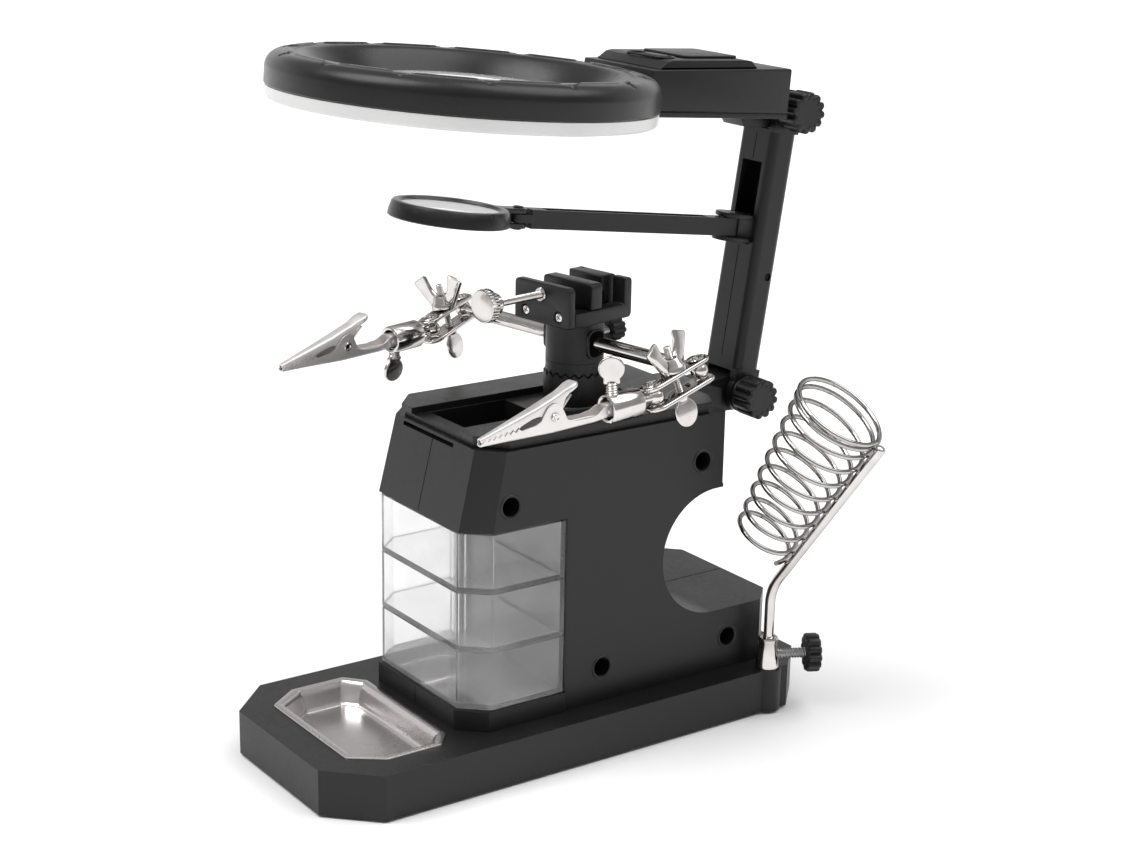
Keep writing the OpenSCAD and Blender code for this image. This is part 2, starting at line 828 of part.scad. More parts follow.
module mast() {
    difference() {
        union() {
            // Body with rounded upright edges
            box([mast_edge_r - mast_half_w, -mast_half_d, mast_foot],
                [mast_half_w - mast_edge_r, mast_half_d, mast_body_top]);
            box([-mast_half_w, mast_edge_r - mast_half_d, mast_foot],
                [mast_half_w, mast_half_d - mast_edge_r, mast_body_top]);
            for (sx = [-1, 1], sy = [-1, 1])
                translate([sx * (mast_half_w - mast_edge_r), sy * (mast_half_d - mast_edge_r), mast_foot])
                    cylinder(r = mast_edge_r, h = mast_body_top - mast_foot);
            for (w = [0, mast_l], side = [-1, 1])
                translate([0, 0, w]) {
                    bar_x(knuckle_r, side < 0 ? -mast_half_w : ear_in, side < 0 ? -ear_in : mast_half_w);
                    translate([side * (mast_half_w + ear_in) / 2, 0, w == 0 ? 5 : -5])
                        cube([mast_half_w - ear_in, 2 * mast_half_d, 10], center = true);
                }
        }
        // Hollow, with a solid foot and head
        box([-mast_half_w + 2, -mast_half_d + 2, 20], [mast_half_w - 2, mast_half_d - 2, 102]);
        // Front slot for the carriage
        box([-slot_half, -mast_half_d - 1, slot_low], [slot_half, 0, slot_high]);
        // Screw hole, wide at both ends
        translate([0, mast_screw_v, mast_screw_w]) {
            bar_x(0.9, -20, 20);
            bar_x(1.7, -20, 1.2 - mast_half_w);
            bar_x(1.7, mast_half_w - 1.2, 20);
        }
        // Knuckle room and bolt holes
        for (w = [0, mast_l])
            translate([0, 0, w]) {
                bar_x(knuckle_r + gap, -ear_in, ear_in);
                bar_x(hinge_bolt_r + run_fit, -20, 20);
            }
    }
}

module mast_right() {
    color("dimgray") in_mast() intersection() {
        mast();
        box([0, -20, -20], [20, 20, 140]);
    }
}

module mast_left() {
    color("dimgray") in_mast() intersection() {
        mast();
        box([-20, -20, -20], [0, 20, 140]);
    }
}

module mast_screws() {
    color("silver") in_mast() translate([0, mast_screw_v, mast_screw_w]) {
        bar_x(0.85, eps + 1.2 - mast_half_w, mast_half_w - 1.2 - eps);
        for (side = [-1, 1])
            translate([side * (mast_half_w - 1), 0, 0]) bar_x(1.5, -0.2 + eps, 0.2);
    }
}

// Knob with its moulded-in bolt through a hinge
module hinge_knob() {
    translate([13, 0, 0]) rotate([0, 90, 0]) fluted_knob(8.5, 10, 12);
    bar_x(7.6, 11.3, 13 + eps);
    bar_x(hinge_bolt_r, -mast_half_w - 1, 14);
    bar_x(3.6, -mast_half_w - 3, -mast_half_w - 0.2, $fn = 6);
}

module lower_knob() {
    color("dimgray") in_mast() hinge_knob();
}

module upper_knob() {
    color("dimgray") in_mast() translate([0, 0, mast_l]) hinge_knob();
}

module aux_carriage() {
    color("dimgray") in_mast() difference() {
        union() {
            for (w = [-5.8, 4])
                translate([0, 0, carriage_w + w]) linear_extrude(1.8) union() {
                    translate([0, carriage_pin_v]) circle(r = 7);
                    translate([-7, carriage_pin_v]) square([14, -mast_half_d - gap - carriage_pin_v]);
                    translate([-5.7, -mast_half_d - gap - eps]) square([11.4, 3]);
                }
            box([-5.7, -mast_half_d + 1.2, carriage_w - 5.8], [5.7, -mast_half_d + 3, carriage_w + 5.8]);
        }
        translate([0, carriage_pin_v, carriage_w - 10]) cylinder(r = 1.5, h = 20, $fn = 32);
    }
}

module aux_pin() {
    color("silver") in_mast() translate([0, carriage_pin_v, carriage_w - 6.2])
        cylinder(r = 1.5, h = 12.4, $fn = 32);
}

module aux_arm() {
    color("dimgray") in_aux() difference() {
        union() {
            translate([-3.4, -aux_joint, -3.7]) cube([6.8, aux_joint, 7.4]);
            translate([0, 0, -3.7]) cylinder(r = 3.4, h = 7.4);
            translate([0, -aux_joint, -3.7]) cylinder(r = 3.4, h = 7.4);
        }
        // Shallow channel along the top
        translate([-2.2, -aux_joint + 12, 2.7]) cube([4.4, aux_joint - 26, 2]);
        // Tongue end for the ring's two tabs
        translate([-5, -aux_joint - 5, 1.6]) cube([10, 9.5, 4]);
        translate([-5, -aux_joint - 5, -5.6]) cube([10, 9.5, 4]);
        translate([0, -aux_joint, -6]) cylinder(r = 1.25, h = 12, $fn = 24);
        // The carriage's pin runs across the tilted arm
        rotate([0, 0, -aux_yaw]) rotate([aux_pitch - mast_lean, 0, 0])
            translate([0, 0, -8]) cylinder(r = 1.5 + run_fit, h = 16, $fn = 32);
    }
}

module aux_ring() {
    color("dimgray") in_aux() difference() {
        union() {
            translate([0, -aux_reach, -2.2]) difference() {
                cylinder(r1 = aux_r, r2 = aux_r - 2, h = 6.3, $fn = 96);
                translate([0, 0, -1]) cylinder(r = aux_r - 4.6, h = 8, $fn = 96);
            }
            for (z = [-3.9, 1.9])
                translate([0, 0, z]) linear_extrude(2) union() {
                    translate([0, -aux_joint]) circle(r = 3.6);
                    translate([-3.6, -aux_reach + aux_r - 2]) square([7.2, aux_reach - aux_joint - aux_r + 2]);
                }
        }
        translate([0, -aux_joint, -6]) cylinder(r = 1.25, h = 12, $fn = 24);
        translate([0, -aux_reach, 0.8]) cylinder(r = aux_r - 3.2, h = 2.6, $fn = 96);
    }
}

module aux_lens() {
    color("lightblue", 0.4) in_aux() translate([0, -aux_reach, 0.9])
        cylinder(r = aux_r - 3.3, h = 2.4, $fn = 96);
}

// ---- Main head ----------------------------------------------------------

module ring_profile() {
    polygon(concat(
        [[56, 0], [lens_r + 1, 1.2], [lens_r + 1, 3.4], [57.2, 9.8]],
        [for (a = [150 : -15 : 60]) [61.8 + 4.6 * cos(a), 8.2 + 4.6 * sin(a)]],
        [for (a = [60 : -10 : 0]) [ring_r - 6.5 + 6.5 * cos(a), 6.2 + 6.2 * sin(a)]],
        [[ring_r, 0], [ring_r - 2, 0], [ring_r - 2, 6],
            [ring_r - 5, 9.8], [62, 10.8], [59, 9], [58, 3], [58, 0]]
    ));
}

module head_shell() {
    color("dimgray") in_head() {
        difference() {
            union() {
                rotate_extrude($fn = 144) ring_profile();
                difference() {
                    translate([-22.5, 0, 0]) rotate([90, 0, 90]) linear_extrude(45)
                        polygon([[67, -2.5], [140.5, -2.5], [140.5, 15.5], [67, 13.4]]);
                    translate([0, 0, -0.05]) cylinder(r = ring_r - 1, h = 24, $fn = 144);
                    translate([0, 0, -4]) cylinder(r = ring_r - 0.2, h = 4, $fn = 144);
                    translate([-20.5, 0, 0]) rotate([90, 0, 90]) linear_extrude(41)
                        polygon([[60, -3], [138.5, -3], [138.5, 13.4], [60, 11.4]]);
                }
                // Neck and knuckle of the upper hinge
                translate([-ear_in + gap, 0, 0]) rotate([90, 0, 90]) linear_extrude(2 * (ear_in - gap))
                    polygon([[138.6, -2.5], [143, -2.5], [head_hinge_v, head_hinge_w + knuckle_r],
                        [head_hinge_v, head_hinge_w - knuckle_r], [132, -9.8], [127, -4.9],
                        [138.6, -4.9]]);
                translate([0, head_hinge_v, head_hinge_w])
                    bar_x(knuckle_r, -ear_in + gap, ear_in - gap);
            }
            translate([0, head_hinge_v, head_hinge_w]) bar_x(hinge_bolt_r + run_fit, -20, 20);
            // Battery opening and the button's hole
            box([-14, 88, 8], [14, 122, 20]);
            translate([9, 79, 8]) cylinder(r = 3.6, h = 12);
        }
    }
}

module head_bottom_cover() {
    color("dimgray") in_head() difference() {
        box([-22.5, 60, -4.5], [22.5, 140.5, -2.5 - eps]);
        translate([0, 0, -10]) cylinder(r = ring_r + 0.2, h = 24, $fn = 144);
        // Room for the neck
        box([-ear_in, 138.5, -5], [ear_in, 141, -2]);
    }
}

module battery_cover() {
    color("dimgray") in_head() difference() {
        translate([-20.5, 0, 0]) rotate([90, 0, 90]) linear_extrude(41)
            polygon([[75, 13.66], [124, 15.06], [120.5, 18.2], [79, 17.2]]);
        translate([9, 79.5, 10]) cylinder(r = 5, h = 12);
    }
}

module power_button() {
    color("black") in_head() translate([9, 79, 11]) cylinder(r = 3.3, h = 4.6);
}

module diffuser() {
    color("white") in_head() rotate_extrude($fn = 144)
        polygon([[54, -0.1], [54, -4.3], [55, -5.3], [71.5, -5.3], [73.2, -3.8], [73.2, -0.1],
            [71.6, -0.1], [71.6, -3.4], [56, -3.4], [56, -0.1]]);
}

module led_board() {
    color("ivory") in_head() rotate_extrude($fn = 144)
        polygon([[58.3, 1], [71.2, 1], [71.2, 2.6], [58.3, 2.6]]);
}

module main_lens() {
    color("lightblue", 0.4) in_head() rotate_extrude($fn = 144)
        polygon(concat([[0, 1.2 - 3]], [for (r = [8.5 : 8.5 : lens_r]) [r, -1.8 + 3 * pow(r / lens_r, 2)]],
            [for (r = [lens_r : -8.5 : 8.5]) [r, 7.4 - 4.2 * pow(r / lens_r, 2)]], [[0, 7.4]]));
}

// ---- Iron holder --------------------------------------------------------

module iron_socket() {
    color("silver") difference() {
        translate([socket_x, socket_y, 0]) {
            translate([0, 0, base_top - 7.5]) cylinder(r = 3.5, h = 8);
            translate([0, 0, base_top]) cylinder(r1 = 4.9, r2 = 3.6, h = 11);
            translate([0, 0, base_top + 11 - eps]) cylinder(r1 = 3.6, r2 = 4, h = socket_top - base_top - 11);
        }
        translate([socket_x, socket_y, base_top - 5]) cylinder(r = holder_rod_r + run_fit, h = 30);
        translate([socket_x, socket_y, holder_knob_z]) rotate([0, 0, holder_knob_turn])
            bar_x(2.2 + run_fit, 0, 10, $fn = 32);
    }
}

module holder_rod() {
    color("silver") {
        translate([socket_x, socket_y, base_top - 4.8])
            cylinder(r = holder_rod_r, h = holder_bend_z - base_top + 4.8);
        translate([socket_x, socket_y, holder_bend_z]) sphere(r = holder_rod_r + 0.05);
        in_holder() cylinder(r = holder_rod_r, h = holder_l);
    }
}

function coil_point(turn) =
    let (t = turn / coil_turns, r = coil_r * (0.64 + 0.36 * pow(t, 0.8)) - coil_wire_r)
    [r * (cos(turn * 360) - 1) - holder_rod_r - coil_wire_r - run_fit, r * sin(turn * 360),
        coil_start + coil_pitch * turn];

// Ring of points round the wire at one place along the coil
function wire_ring(turn) =
    let (a = turn * 360, c = coil_point(turn))
    [for (k = [0 : wire_sides - 1])
        let (b = k * 360 / wire_sides)
        c + coil_wire_r * (cos(b) * [cos(a), sin(a), 0] + sin(b) * [0, 0, 1])];

module holder_coil() {
    rings = coil_steps * coil_turns;
    points = [for (i = [0 : rings]) each wire_ring(i / coil_steps)];
    sides = [for (i = [0 : rings - 1], k = [0 : wire_sides - 1])
        let (next = (k + 1) % wire_sides)
        [i * wire_sides + k, i * wire_sides + next,
            (i + 1) * wire_sides + next, (i + 1) * wire_sides + k]];
    start = [for (k = [wire_sides - 1 : -1 : 0]) k];
    finish = [for (k = [0 : wire_sides - 1]) rings * wire_sides + k];
    color("silver") in_holder() polyhedron(points, concat(sides, [start, finish]));
}

module holder_knob() {
    color("dimgray") translate([socket_x, socket_y, holder_knob_z]) rotate([0, 0, holder_knob_turn]) {
        bar_x(2.2, holder_rod_r + 0.1, 15, $fn = 32);
        translate([14.5, 0, 0]) rotate([0, 90, 0]) fluted_knob(8.1, 7.5, 12);
    }
}

base_shell();
base_bottom_plate();
rubber_feet();
case_screws();
steel_tray();
housing_right();
housing_left();
top_deck();
mast_bracket();
tray_pin();
tray_bottom();
tray_middle();
tray_top();
post_lower();
turret();
turret_bolt();
vise_body();
vise_front_plate();
vise_plate_screws();
vise_jaw();
vise_screw();
cross_rod();
rod_clamp_knob();
right_clamp_plates();
right_thumb_bolt();
right_wing_nut();
right_collar();
right_collar_screw();
right_clip_lower();
right_clip_upper();
right_clip_pivot();
left_clamp_plates();
left_thumb_bolt();
left_wing_nut();
left_collar();
left_collar_screw();
left_clip_lower();
left_clip_upper();
left_clip_pivot();
mast_right();
mast_left();
mast_screws();
lower_knob();
aux_carriage();
aux_pin();
aux_arm();
aux_ring();
aux_lens();
head_shell();
head_bottom_cover();
battery_cover();
power_button();
diffuser();
led_board();
main_lens();
upper_knob();
iron_socket();
holder_rod();
holder_coil();
holder_knob();
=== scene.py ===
"""Looks of the soldering iron station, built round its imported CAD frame.

Local points are in millimetres. The CAD nodes stay where they are: moulded housings keep their
node with rounded edges, and every turned, cast, pressed or wound part gets its own finer mesh.
"""
import json
import math

import bmesh
import bpy
from mathutils import Matrix, Vector


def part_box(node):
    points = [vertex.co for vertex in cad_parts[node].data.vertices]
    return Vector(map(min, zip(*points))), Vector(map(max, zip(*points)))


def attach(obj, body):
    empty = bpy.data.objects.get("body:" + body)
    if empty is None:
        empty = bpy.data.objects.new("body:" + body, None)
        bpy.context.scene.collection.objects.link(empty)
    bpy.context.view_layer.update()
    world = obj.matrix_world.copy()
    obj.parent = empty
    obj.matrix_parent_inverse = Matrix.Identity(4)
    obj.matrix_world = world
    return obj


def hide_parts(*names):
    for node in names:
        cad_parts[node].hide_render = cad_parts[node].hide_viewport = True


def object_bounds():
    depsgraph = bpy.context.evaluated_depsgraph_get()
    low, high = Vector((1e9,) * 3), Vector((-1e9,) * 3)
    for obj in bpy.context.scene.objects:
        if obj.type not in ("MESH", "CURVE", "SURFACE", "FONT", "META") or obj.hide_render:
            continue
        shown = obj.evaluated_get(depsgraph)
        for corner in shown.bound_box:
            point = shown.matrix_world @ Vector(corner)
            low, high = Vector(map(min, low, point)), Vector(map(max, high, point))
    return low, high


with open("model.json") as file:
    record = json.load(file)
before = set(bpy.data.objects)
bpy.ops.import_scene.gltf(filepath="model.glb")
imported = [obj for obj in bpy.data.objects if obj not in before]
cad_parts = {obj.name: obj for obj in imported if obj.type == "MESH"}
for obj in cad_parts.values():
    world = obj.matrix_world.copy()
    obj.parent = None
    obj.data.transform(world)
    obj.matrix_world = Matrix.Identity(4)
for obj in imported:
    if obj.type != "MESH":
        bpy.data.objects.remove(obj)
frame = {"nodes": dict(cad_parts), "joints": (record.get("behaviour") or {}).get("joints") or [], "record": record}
NODES = frame["nodes"]
JOINTS = {j["name"]: j for j in frame["joints"]}
CAD_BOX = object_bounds()
MM = 0.001


# ---- Frames --------------------------------------------------------------

def axes(origin, x, z):
    """Matrix from local millimetres to the row frame, from its X and its rough Z."""
    x = Vector(x).normalized()
    y = Vector(z).cross(x).normalized()
    z = x.cross(y)
    m = Matrix((x, y, z)).transposed().to_4x4()
    m.translation = origin
    return m @ Matrix.Scale(MM, 4)


def joint_pos(name):
    return Vector(JOINTS[name]["pos_m"])


def joint_axis(name):
    return Vector(JOINTS[name]["axis"])


UP = Vector((0, 0, 1))
ROW = Matrix.Scale(MM, 4)
TURRET = axes((joint_pos("turret_turn").x, joint_pos("turret_turn").y, 0),
              joint_axis("cross_rod_slide"), UP)
ROD_Z = joint_pos("rod_clamp_turn").z / MM
MAST = axes(joint_pos("mast_tilt"), (1, 0, 0), joint_axis("carriage_slide"))
MAST_L = (joint_pos("upper_knob_turn") - joint_pos("mast_tilt")).dot(
    joint_axis("carriage_slide")) / MM
AUX_RUN = joint_pos("aux_ring_swing") - joint_pos("aux_arm_swing")
AUX = axes(joint_pos("aux_arm_swing"), joint_axis("aux_ring_swing").cross(AUX_RUN),
           joint_axis("aux_ring_swing"))
HEAD_UP = -joint_axis("power_button_press")
HINGE_V, HINGE_W = 151.9, -2.1
HEAD_Y = HEAD_UP.cross(Vector((1, 0, 0)))
HEAD = axes(joint_pos("head_tilt") - (HEAD_Y * HINGE_V + HEAD_UP * HINGE_W) * MM,
            (1, 0, 0), HEAD_UP)
CLAMP, HAND = {}, {}
for side in ("right", "left"):
    start = joint_pos(f"{side}_clamp_swing")
    end = joint_pos(f"{side}_hand_swing")
    CLAMP[side] = axes(start, end - start, joint_axis(f"{side}_clamp_swing"))
    along = joint_axis(f"{side}_clip_turn")
    HAND[side] = axes(end, along, along.cross(-joint_axis(f"{side}_clip_open")))
CLAMP_L = 24
SOCKET = joint_pos("holder_turn")
SOCKET_ROW = Matrix.Translation((SOCKET.x, SOCKET.y, 0)) @ ROW
BEND_Z, HOLDER_TURN, HOLDER_RISE = 53, math.radians(20), math.radians(56.3)
HOLDER = axes((SOCKET.x, SOCKET.y, BEND_Z * MM),
              (math.sin(HOLDER_RISE) * math.cos(HOLDER_TURN),
               math.sin(HOLDER_RISE) * math.sin(HOLDER_TURN), -math.cos(HOLDER_RISE)),
              (math.cos(HOLDER_RISE) * math.cos(HOLDER_TURN),
               math.cos(HOLDER_RISE) * math.sin(HOLDER_TURN), math.sin(HOLDER_RISE)))


# ---- Materials -----------------------------------------------------------

def new_material(name):
    """A material with its node tree and its shader."""
    m = bpy.data.materials.new(name)
    m.use_nodes = True
    nt = m.node_tree
    return m, nt, nt.nodes["Principled BSDF"]


def node(nt, kind, **inputs):
    """A shader node with some of its sockets set."""
    n = nt.nodes.new(kind)
    for k, v in inputs.items():
        n.inputs[k.replace("_", " ")].default_value = v
    return n


def noise(nt, scale, detail=3.0, stretch=(1, 1, 1), rough=0.5):
    """Noise fixed to the object, stretched along an axis where asked."""
    place = nt.nodes.new("ShaderNodeTexCoord")
    mapping = nt.nodes.new("ShaderNodeMapping")
    mapping.inputs["Scale"].default_value = stretch
    nt.links.new(place.outputs["Object"], mapping.inputs["Vector"])
    n = node(nt, "ShaderNodeTexNoise", Scale=scale, Detail=detail, Roughness=rough)
    nt.links.new(mapping.outputs["Vector"], n.inputs["Vector"])
    return n.outputs["Fac"]


def ramp(nt, source, stops):
    """Colours at their positions, first and last stop at the ends."""
    r = nt.nodes.new("ShaderNodeValToRGB")
    nt.links.new(source, r.inputs["Fac"])
    r.color_ramp.elements[0].position, r.color_ramp.elements[0].color = stops[0]
    r.color_ramp.elements[1].position, r.color_ramp.elements[1].color = stops[-1]
    for pos, col in stops[1:-1]:
        e = r.color_ramp.elements.new(pos)
        e.color = col
    return r.outputs["Color"]


def grey(v):
    return (v, v, v, 1)


def tinted(colour, k):
    """A colour at a share k of its brightness."""
    return (*[c * k for c in colour], 1)


def product(nt, a, b):
    mix = nt.nodes.new("ShaderNodeMath")
    mix.operation = "MULTIPLY"
    nt.links.new(a, mix.inputs[0])
    nt.links.new(b, mix.inputs[1])
    return mix.outputs[0]


def bump(nt, bsdf, height, strength, distance):
    """Fine relief on the shader's normal."""
    b = node(nt, "ShaderNodeBump", Strength=strength, Distance=distance)
    nt.links.new(height, b.inputs["Height"])
    nt.links.new(b.outputs["Normal"], bsdf.inputs["Normal"])


def plastic(name, base, rough, grain_scale=2600, grain=0.00006, tint=(1, 1, 1.03), strength=0.35,
            level=0.38):
    """Moulded plastic or rubber: spark-eroded grain, faint flow marks, uneven satin."""
    m, nt, b = new_material(name)
    cloud = noise(nt, 38, 4)
    nt.links.new(ramp(nt, cloud, [(0.3, tinted(tint, base[0])), (0.7, tinted(tint, base[1]))]),
                 b.inputs["Base Color"])
    patches = product(nt, cloud, noise(nt, 420, 5))
    nt.links.new(ramp(nt, patches, [(0.1, grey(rough[0])), (0.45, grey(rough[1]))]),
                 b.inputs["Roughness"])
    bump(nt, b, noise(nt, grain_scale, 2, rough=0.6), strength, grain)
    b.inputs["IOR"].default_value = 1.5
    b.inputs["Specular IOR Level"].default_value = level
    return m


def metal(name, base, rough, smudge=90, grain_scale=1500, stretch=(1, 1, 1), strength=0.12,
          grain=0.00003, edge=(0.25, 0.24, 0.23), soil=0.86, plated=1.0):
    """Plated or sheet metal: smudged gloss, faint drawn marks."""
    m, nt, b = new_material(name)
    b.inputs["Metallic"].default_value = plated
    b.inputs["Specular Tint"].default_value = (*edge, 1)
    cloud = noise(nt, smudge, 4)
    nt.links.new(ramp(nt, cloud, [(0.3, tinted(base, soil)), (0.65, (*base, 1))]),
                 b.inputs["Base Color"])
    marks = noise(nt, grain_scale, 3, stretch)
    nt.links.new(ramp(nt, product(nt, cloud, marks), [(0.08, grey(rough[0])), (0.5, grey(rough[1]))]),
                 b.inputs["Roughness"])
    bump(nt, b, marks, strength, grain)
    return m


def clear(name, tint, rough, haze, ior=1.49, ripple=0.00004):
    """Clear moulded plastic or glass that lets lamps through to what is behind it."""
    m, nt, b = new_material(name)
    out = nt.nodes["Material Output"]
    b.inputs["Transmission Weight"].default_value = 1.0
    b.inputs["Base Color"].default_value = (*tint, 1)
    b.inputs["IOR"].default_value = ior
    cloud = noise(nt, 60, 4)
    nt.links.new(ramp(nt, cloud, [(0.35, grey(rough[0])), (0.75, grey(rough[1]))]),
                 b.inputs["Roughness"])
    bump(nt, b, noise(nt, 90, 2), 0.2, ripple)
    milk = node(nt, "ShaderNodeBsdfDiffuse", Color=(0.7, 0.7, 0.7, 1))
    hazy = nt.nodes.new("ShaderNodeMixShader")
    nt.links.new(ramp(nt, noise(nt, 45, 5), [(0.35, grey(haze[0])), (0.7, grey(haze[1]))]),
                 hazy.inputs["Fac"])
    nt.links.new(b.outputs[0], hazy.inputs[1])
    nt.links.new(milk.outputs[0], hazy.inputs[2])
    path = nt.nodes.new("ShaderNodeLightPath")
    through = node(nt, "ShaderNodeBsdfTransparent", Color=(0.93, 0.93, 0.93, 1))
    pick = nt.nodes.new("ShaderNodeMixShader")
    nt.links.new(path.outputs["Is Shadow Ray"], pick.inputs["Fac"])
    nt.links.new(hazy.outputs[0], pick.inputs[1])
    nt.links.new(through.outputs[0], pick.inputs[2])
    nt.links.new(pick.outputs[0], out.inputs["Surface"])
    return m


M = {
    "black": plastic("black_satin", (0.006, 0.009), (0.34, 0.46)),
    "gloss_black": plastic("black_ring", (0.007, 0.011), (0.26, 0.38), grain=0.00004),
    "knob_black": plastic("black_knob", (0.008, 0.012), (0.34, 0.48), 1900),
    "rubber": plastic("rubber", (0.014, 0.02), (0.7, 0.85), 900, 0.0001),
    "screw_steel": metal("screw_steel", (0.55, 0.55, 0.56), (0.25, 0.42)),
    "stainless": metal("stainless", (0.8, 0.77, 0.765), (0.24, 0.29), 30, 700, (1, 12, 1), 0.03, 0.00001,
                       soil=0.97),
    "nickel": metal("nickel", (0.72, 0.69, 0.67), (0.08, 0.2), 140),
    "wire_steel": metal("wire_steel", (0.55, 0.53, 0.52), (0.08, 0.18), 140, edge=(0.06, 0.06, 0.06)),
    # Near-black plastic for the seam hairlines, and painted shade in the turret mouths.
    "seam": plastic("black_seam_and_shade", (0.002, 0.003), (0.8, 0.9), level=0.05),
    "clear": clear("clear_plastic", (0.975, 0.975, 0.975), (0.02, 0.09), (0.03, 0.11)),
    "lens": clear("lens_glass", (0.98, 0.99, 0.99), (0.0, 0.01), (0.0, 0.01), 1.5, 0.0),
    "satin_nickel": metal("satin_nickel", (0.8, 0.77, 0.755), (0.3, 0.44), 120, soil=0.93, plated=0.72),
    # Near-black steel for the mast screws: painted shade of the deep holes they sit in.
    "painted_shade_screw_steel": metal("painted_shade_screw_steel", (0.02, 0.02, 0.02), (0.4, 0.55)),
    "diffuser": plastic("diffuser_white", (0.66, 0.72), (0.28, 0.34), 240, 0.00001, (1, 0.99, 0.985),
                        0.08, 0.5),
    "board": plastic("board_white", (0.6, 0.7), (0.35, 0.5), 600, 0.00003, level=0.5),
}
SLOT = {s["node"]: s["material_slot"] for s in frame["record"]["subparts"]}
BY_SLOT = {"black_plastic": "black", "rubber": "rubber", "screw_steel": "screw_steel",
           "stainless": "stainless", "clear_plastic": "clear", "nickel": "nickel",
           "lens": "lens", "diffuser": "diffuser", "board": "board"}


def paint(obj, key):
    obj.data.materials.clear()
    obj.data.materials.append(M[key])


# ---- Mesh helpers --------------------------------------------------------

def make(name, verts, faces, matrix, key, body, *replaced, slot=None, smooth=True):
    """A new piece from local points: placed, painted, and riding on its body."""
    me = bpy.data.meshes.new(name)
    me.from_pydata([matrix @ Vector(v) for v in verts], [], faces)
    me.validate()
    bm = bmesh.new()
    bm.from_mesh(me)
    bmesh.ops.remove_doubles(bm, verts=bm.verts, dist=2e-6)
    bmesh.ops.recalc_face_normals(bm, faces=bm.faces)
    bm.to_mesh(me)
    bm.free()
    obj = bpy.data.objects.new(name, me)
    bpy.context.scene.collection.objects.link(obj)
    if smooth:
        soften(obj)
    paint(obj, key)
    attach(obj, body)
    if replaced:
        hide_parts(*replaced)


def soften(obj, angle=32):
    """Smooth shading that keeps edges past the angle sharp."""
    for p in obj.data.polygons:
        p.use_smooth = True
    bm = bmesh.new()
    bm.from_mesh(obj.data)
    for e in bm.edges:
        if len(e.link_faces) == 2 and e.calc_face_angle(0) > math.radians(angle):
            e.smooth = False
    bm.to_mesh(obj.data)
    bm.free()


def carry_over(name, key, width=0.35, angle=28):
    """A CAD node that stays: welded, its flat faces joined, its edges rounded."""
    obj = NODES[name]
    for p in obj.data.polygons:
        p.use_smooth = True
    w = obj.modifiers.new("weld", "WELD")
    w.merge_threshold = 1e-6
    d = obj.modifiers.new("flats", "DECIMATE")
    d.decimate_type = "DISSOLVE"
    d.angle_limit = math.radians(0.6)
    b = obj.modifiers.new("edges", "BEVEL")
    b.width = width * MM
    b.segments = 2
    b.limit_method = "ANGLE"
    b.angle_limit = math.radians(angle)
    b.miter_outer = "MITER_ARC"
    n = obj.modifiers.new("normals", "WEIGHTED_NORMAL")
    n.keep_sharp = True
    paint(obj, key)


def flat(rows):
    return [p for row in rows for p in row]


def band(i, i2, n):
    """Faces between row i and row i2, each a ring of n points."""
    return [(i * n + k, i2 * n + k, i2 * n + (k + 1) % n, i * n + (k + 1) % n) for k in range(n)]


def grid(rows):
    """Skin over rows of points, each row a ring, with a cap on both ends."""
    n, last = len(rows[0]), len(rows) - 1
    faces = [f for i in range(last) for f in band(i, i + 1, n)]
    faces.append(tuple(reversed(range(n))))
    faces.append(tuple(last * n + k for k in range(n)))
    return flat(rows), faces


def looped(rows):
    """Skin over rows of points, each row a ring and the last row joined to the first."""
    n, count = len(rows[0]), len(rows)
    return flat(rows), [f for i in range(count) for f in band(i, (i + 1) % count, n)]


def lathe(profile, steps=64):
    """Closed profile of (radius, height) points turned about Z."""
    turns = [2 * math.pi * i / steps for i in range(steps)]
    return looped([[(r * math.cos(a), r * math.sin(a), z) for r, z in profile] for a in turns])


def spun(profile, steps=64, wave=None):
    """Open profile of (radius, height) points turned about Z, closed by end caps.

    wave(angle, r, z) gives a radius that changes round the piece.
    """
    rows = []
    for r, z in profile:
        row = []
        for i in range(steps):
            a = 2 * math.pi * i / steps
            q = wave(a, r, z) if wave else r
            row.append((q * math.cos(a), q * math.sin(a), z))
        rows.append(row)
    return grid(rows)


def tube(points, radius, sides=12, radii=None):
    """Round tube along points with caps, its rings turned as little as possible."""
    pts = [Vector(p) for p in points]
    rows = []
    t = (pts[1] - pts[0]).normalized()
    n = t.orthogonal().normalized()
    for i, p in enumerate(pts):
        ahead = (pts[min(i + 1, len(pts) - 1)] - pts[max(i - 1, 0)]).normalized()
        n = (t.rotation_difference(ahead) @ n).normalized()
        t = ahead
        m = t.cross(n)
        r = radii[i] if radii else radius
        rows.append([tuple(p + n * (r * math.cos(2 * math.pi * k / sides))
                           + m * (r * math.sin(2 * math.pi * k / sides))) for k in range(sides)])
    return grid(rows)


def thread(r, pitch, z0, z1, depth, steps=32, tip=0.6, per_turn=10):
    """A threaded shaft along Z, with its ends tapered."""
    rows = []
    count = max(8, int((z1 - z0) / pitch * per_turn))
    for i in range(count + 1):
        z = z0 + (z1 - z0) * i / count
        fade = min(1.0, (z - z0) / tip, (z1 - z) / tip)
        row = []
        for k in range(steps):
            a = 2 * math.pi * k / steps
            u = (z / pitch - k / steps) % 1.0
            q = r - depth * abs(2 * u - 1) - (1 - max(0.0, fade)) * depth
            row.append((q * math.cos(a), q * math.sin(a), z))
        rows.append(row)
    return grid(rows)


def joined(*parts):
    """Several (verts, faces) pairs as one."""
    verts, faces = [], []
    for v, f in parts:
        base = len(verts)
        verts += list(v)
        faces += [tuple(i + base for i in face) for face in f]
    return verts, faces


def moved(part, matrix):
    """(verts, faces) with the points taken through a matrix."""
    verts, faces = part
    return [tuple(matrix @ Vector(p)) for p in verts], faces


def rot(axis, degrees):
    return Matrix.Rotation(math.radians(degrees), 4, axis)


def shift(x, y, z):
    return Matrix.Translation((x, y, z))


# ---- Carried-over nodes --------------------------------------------------

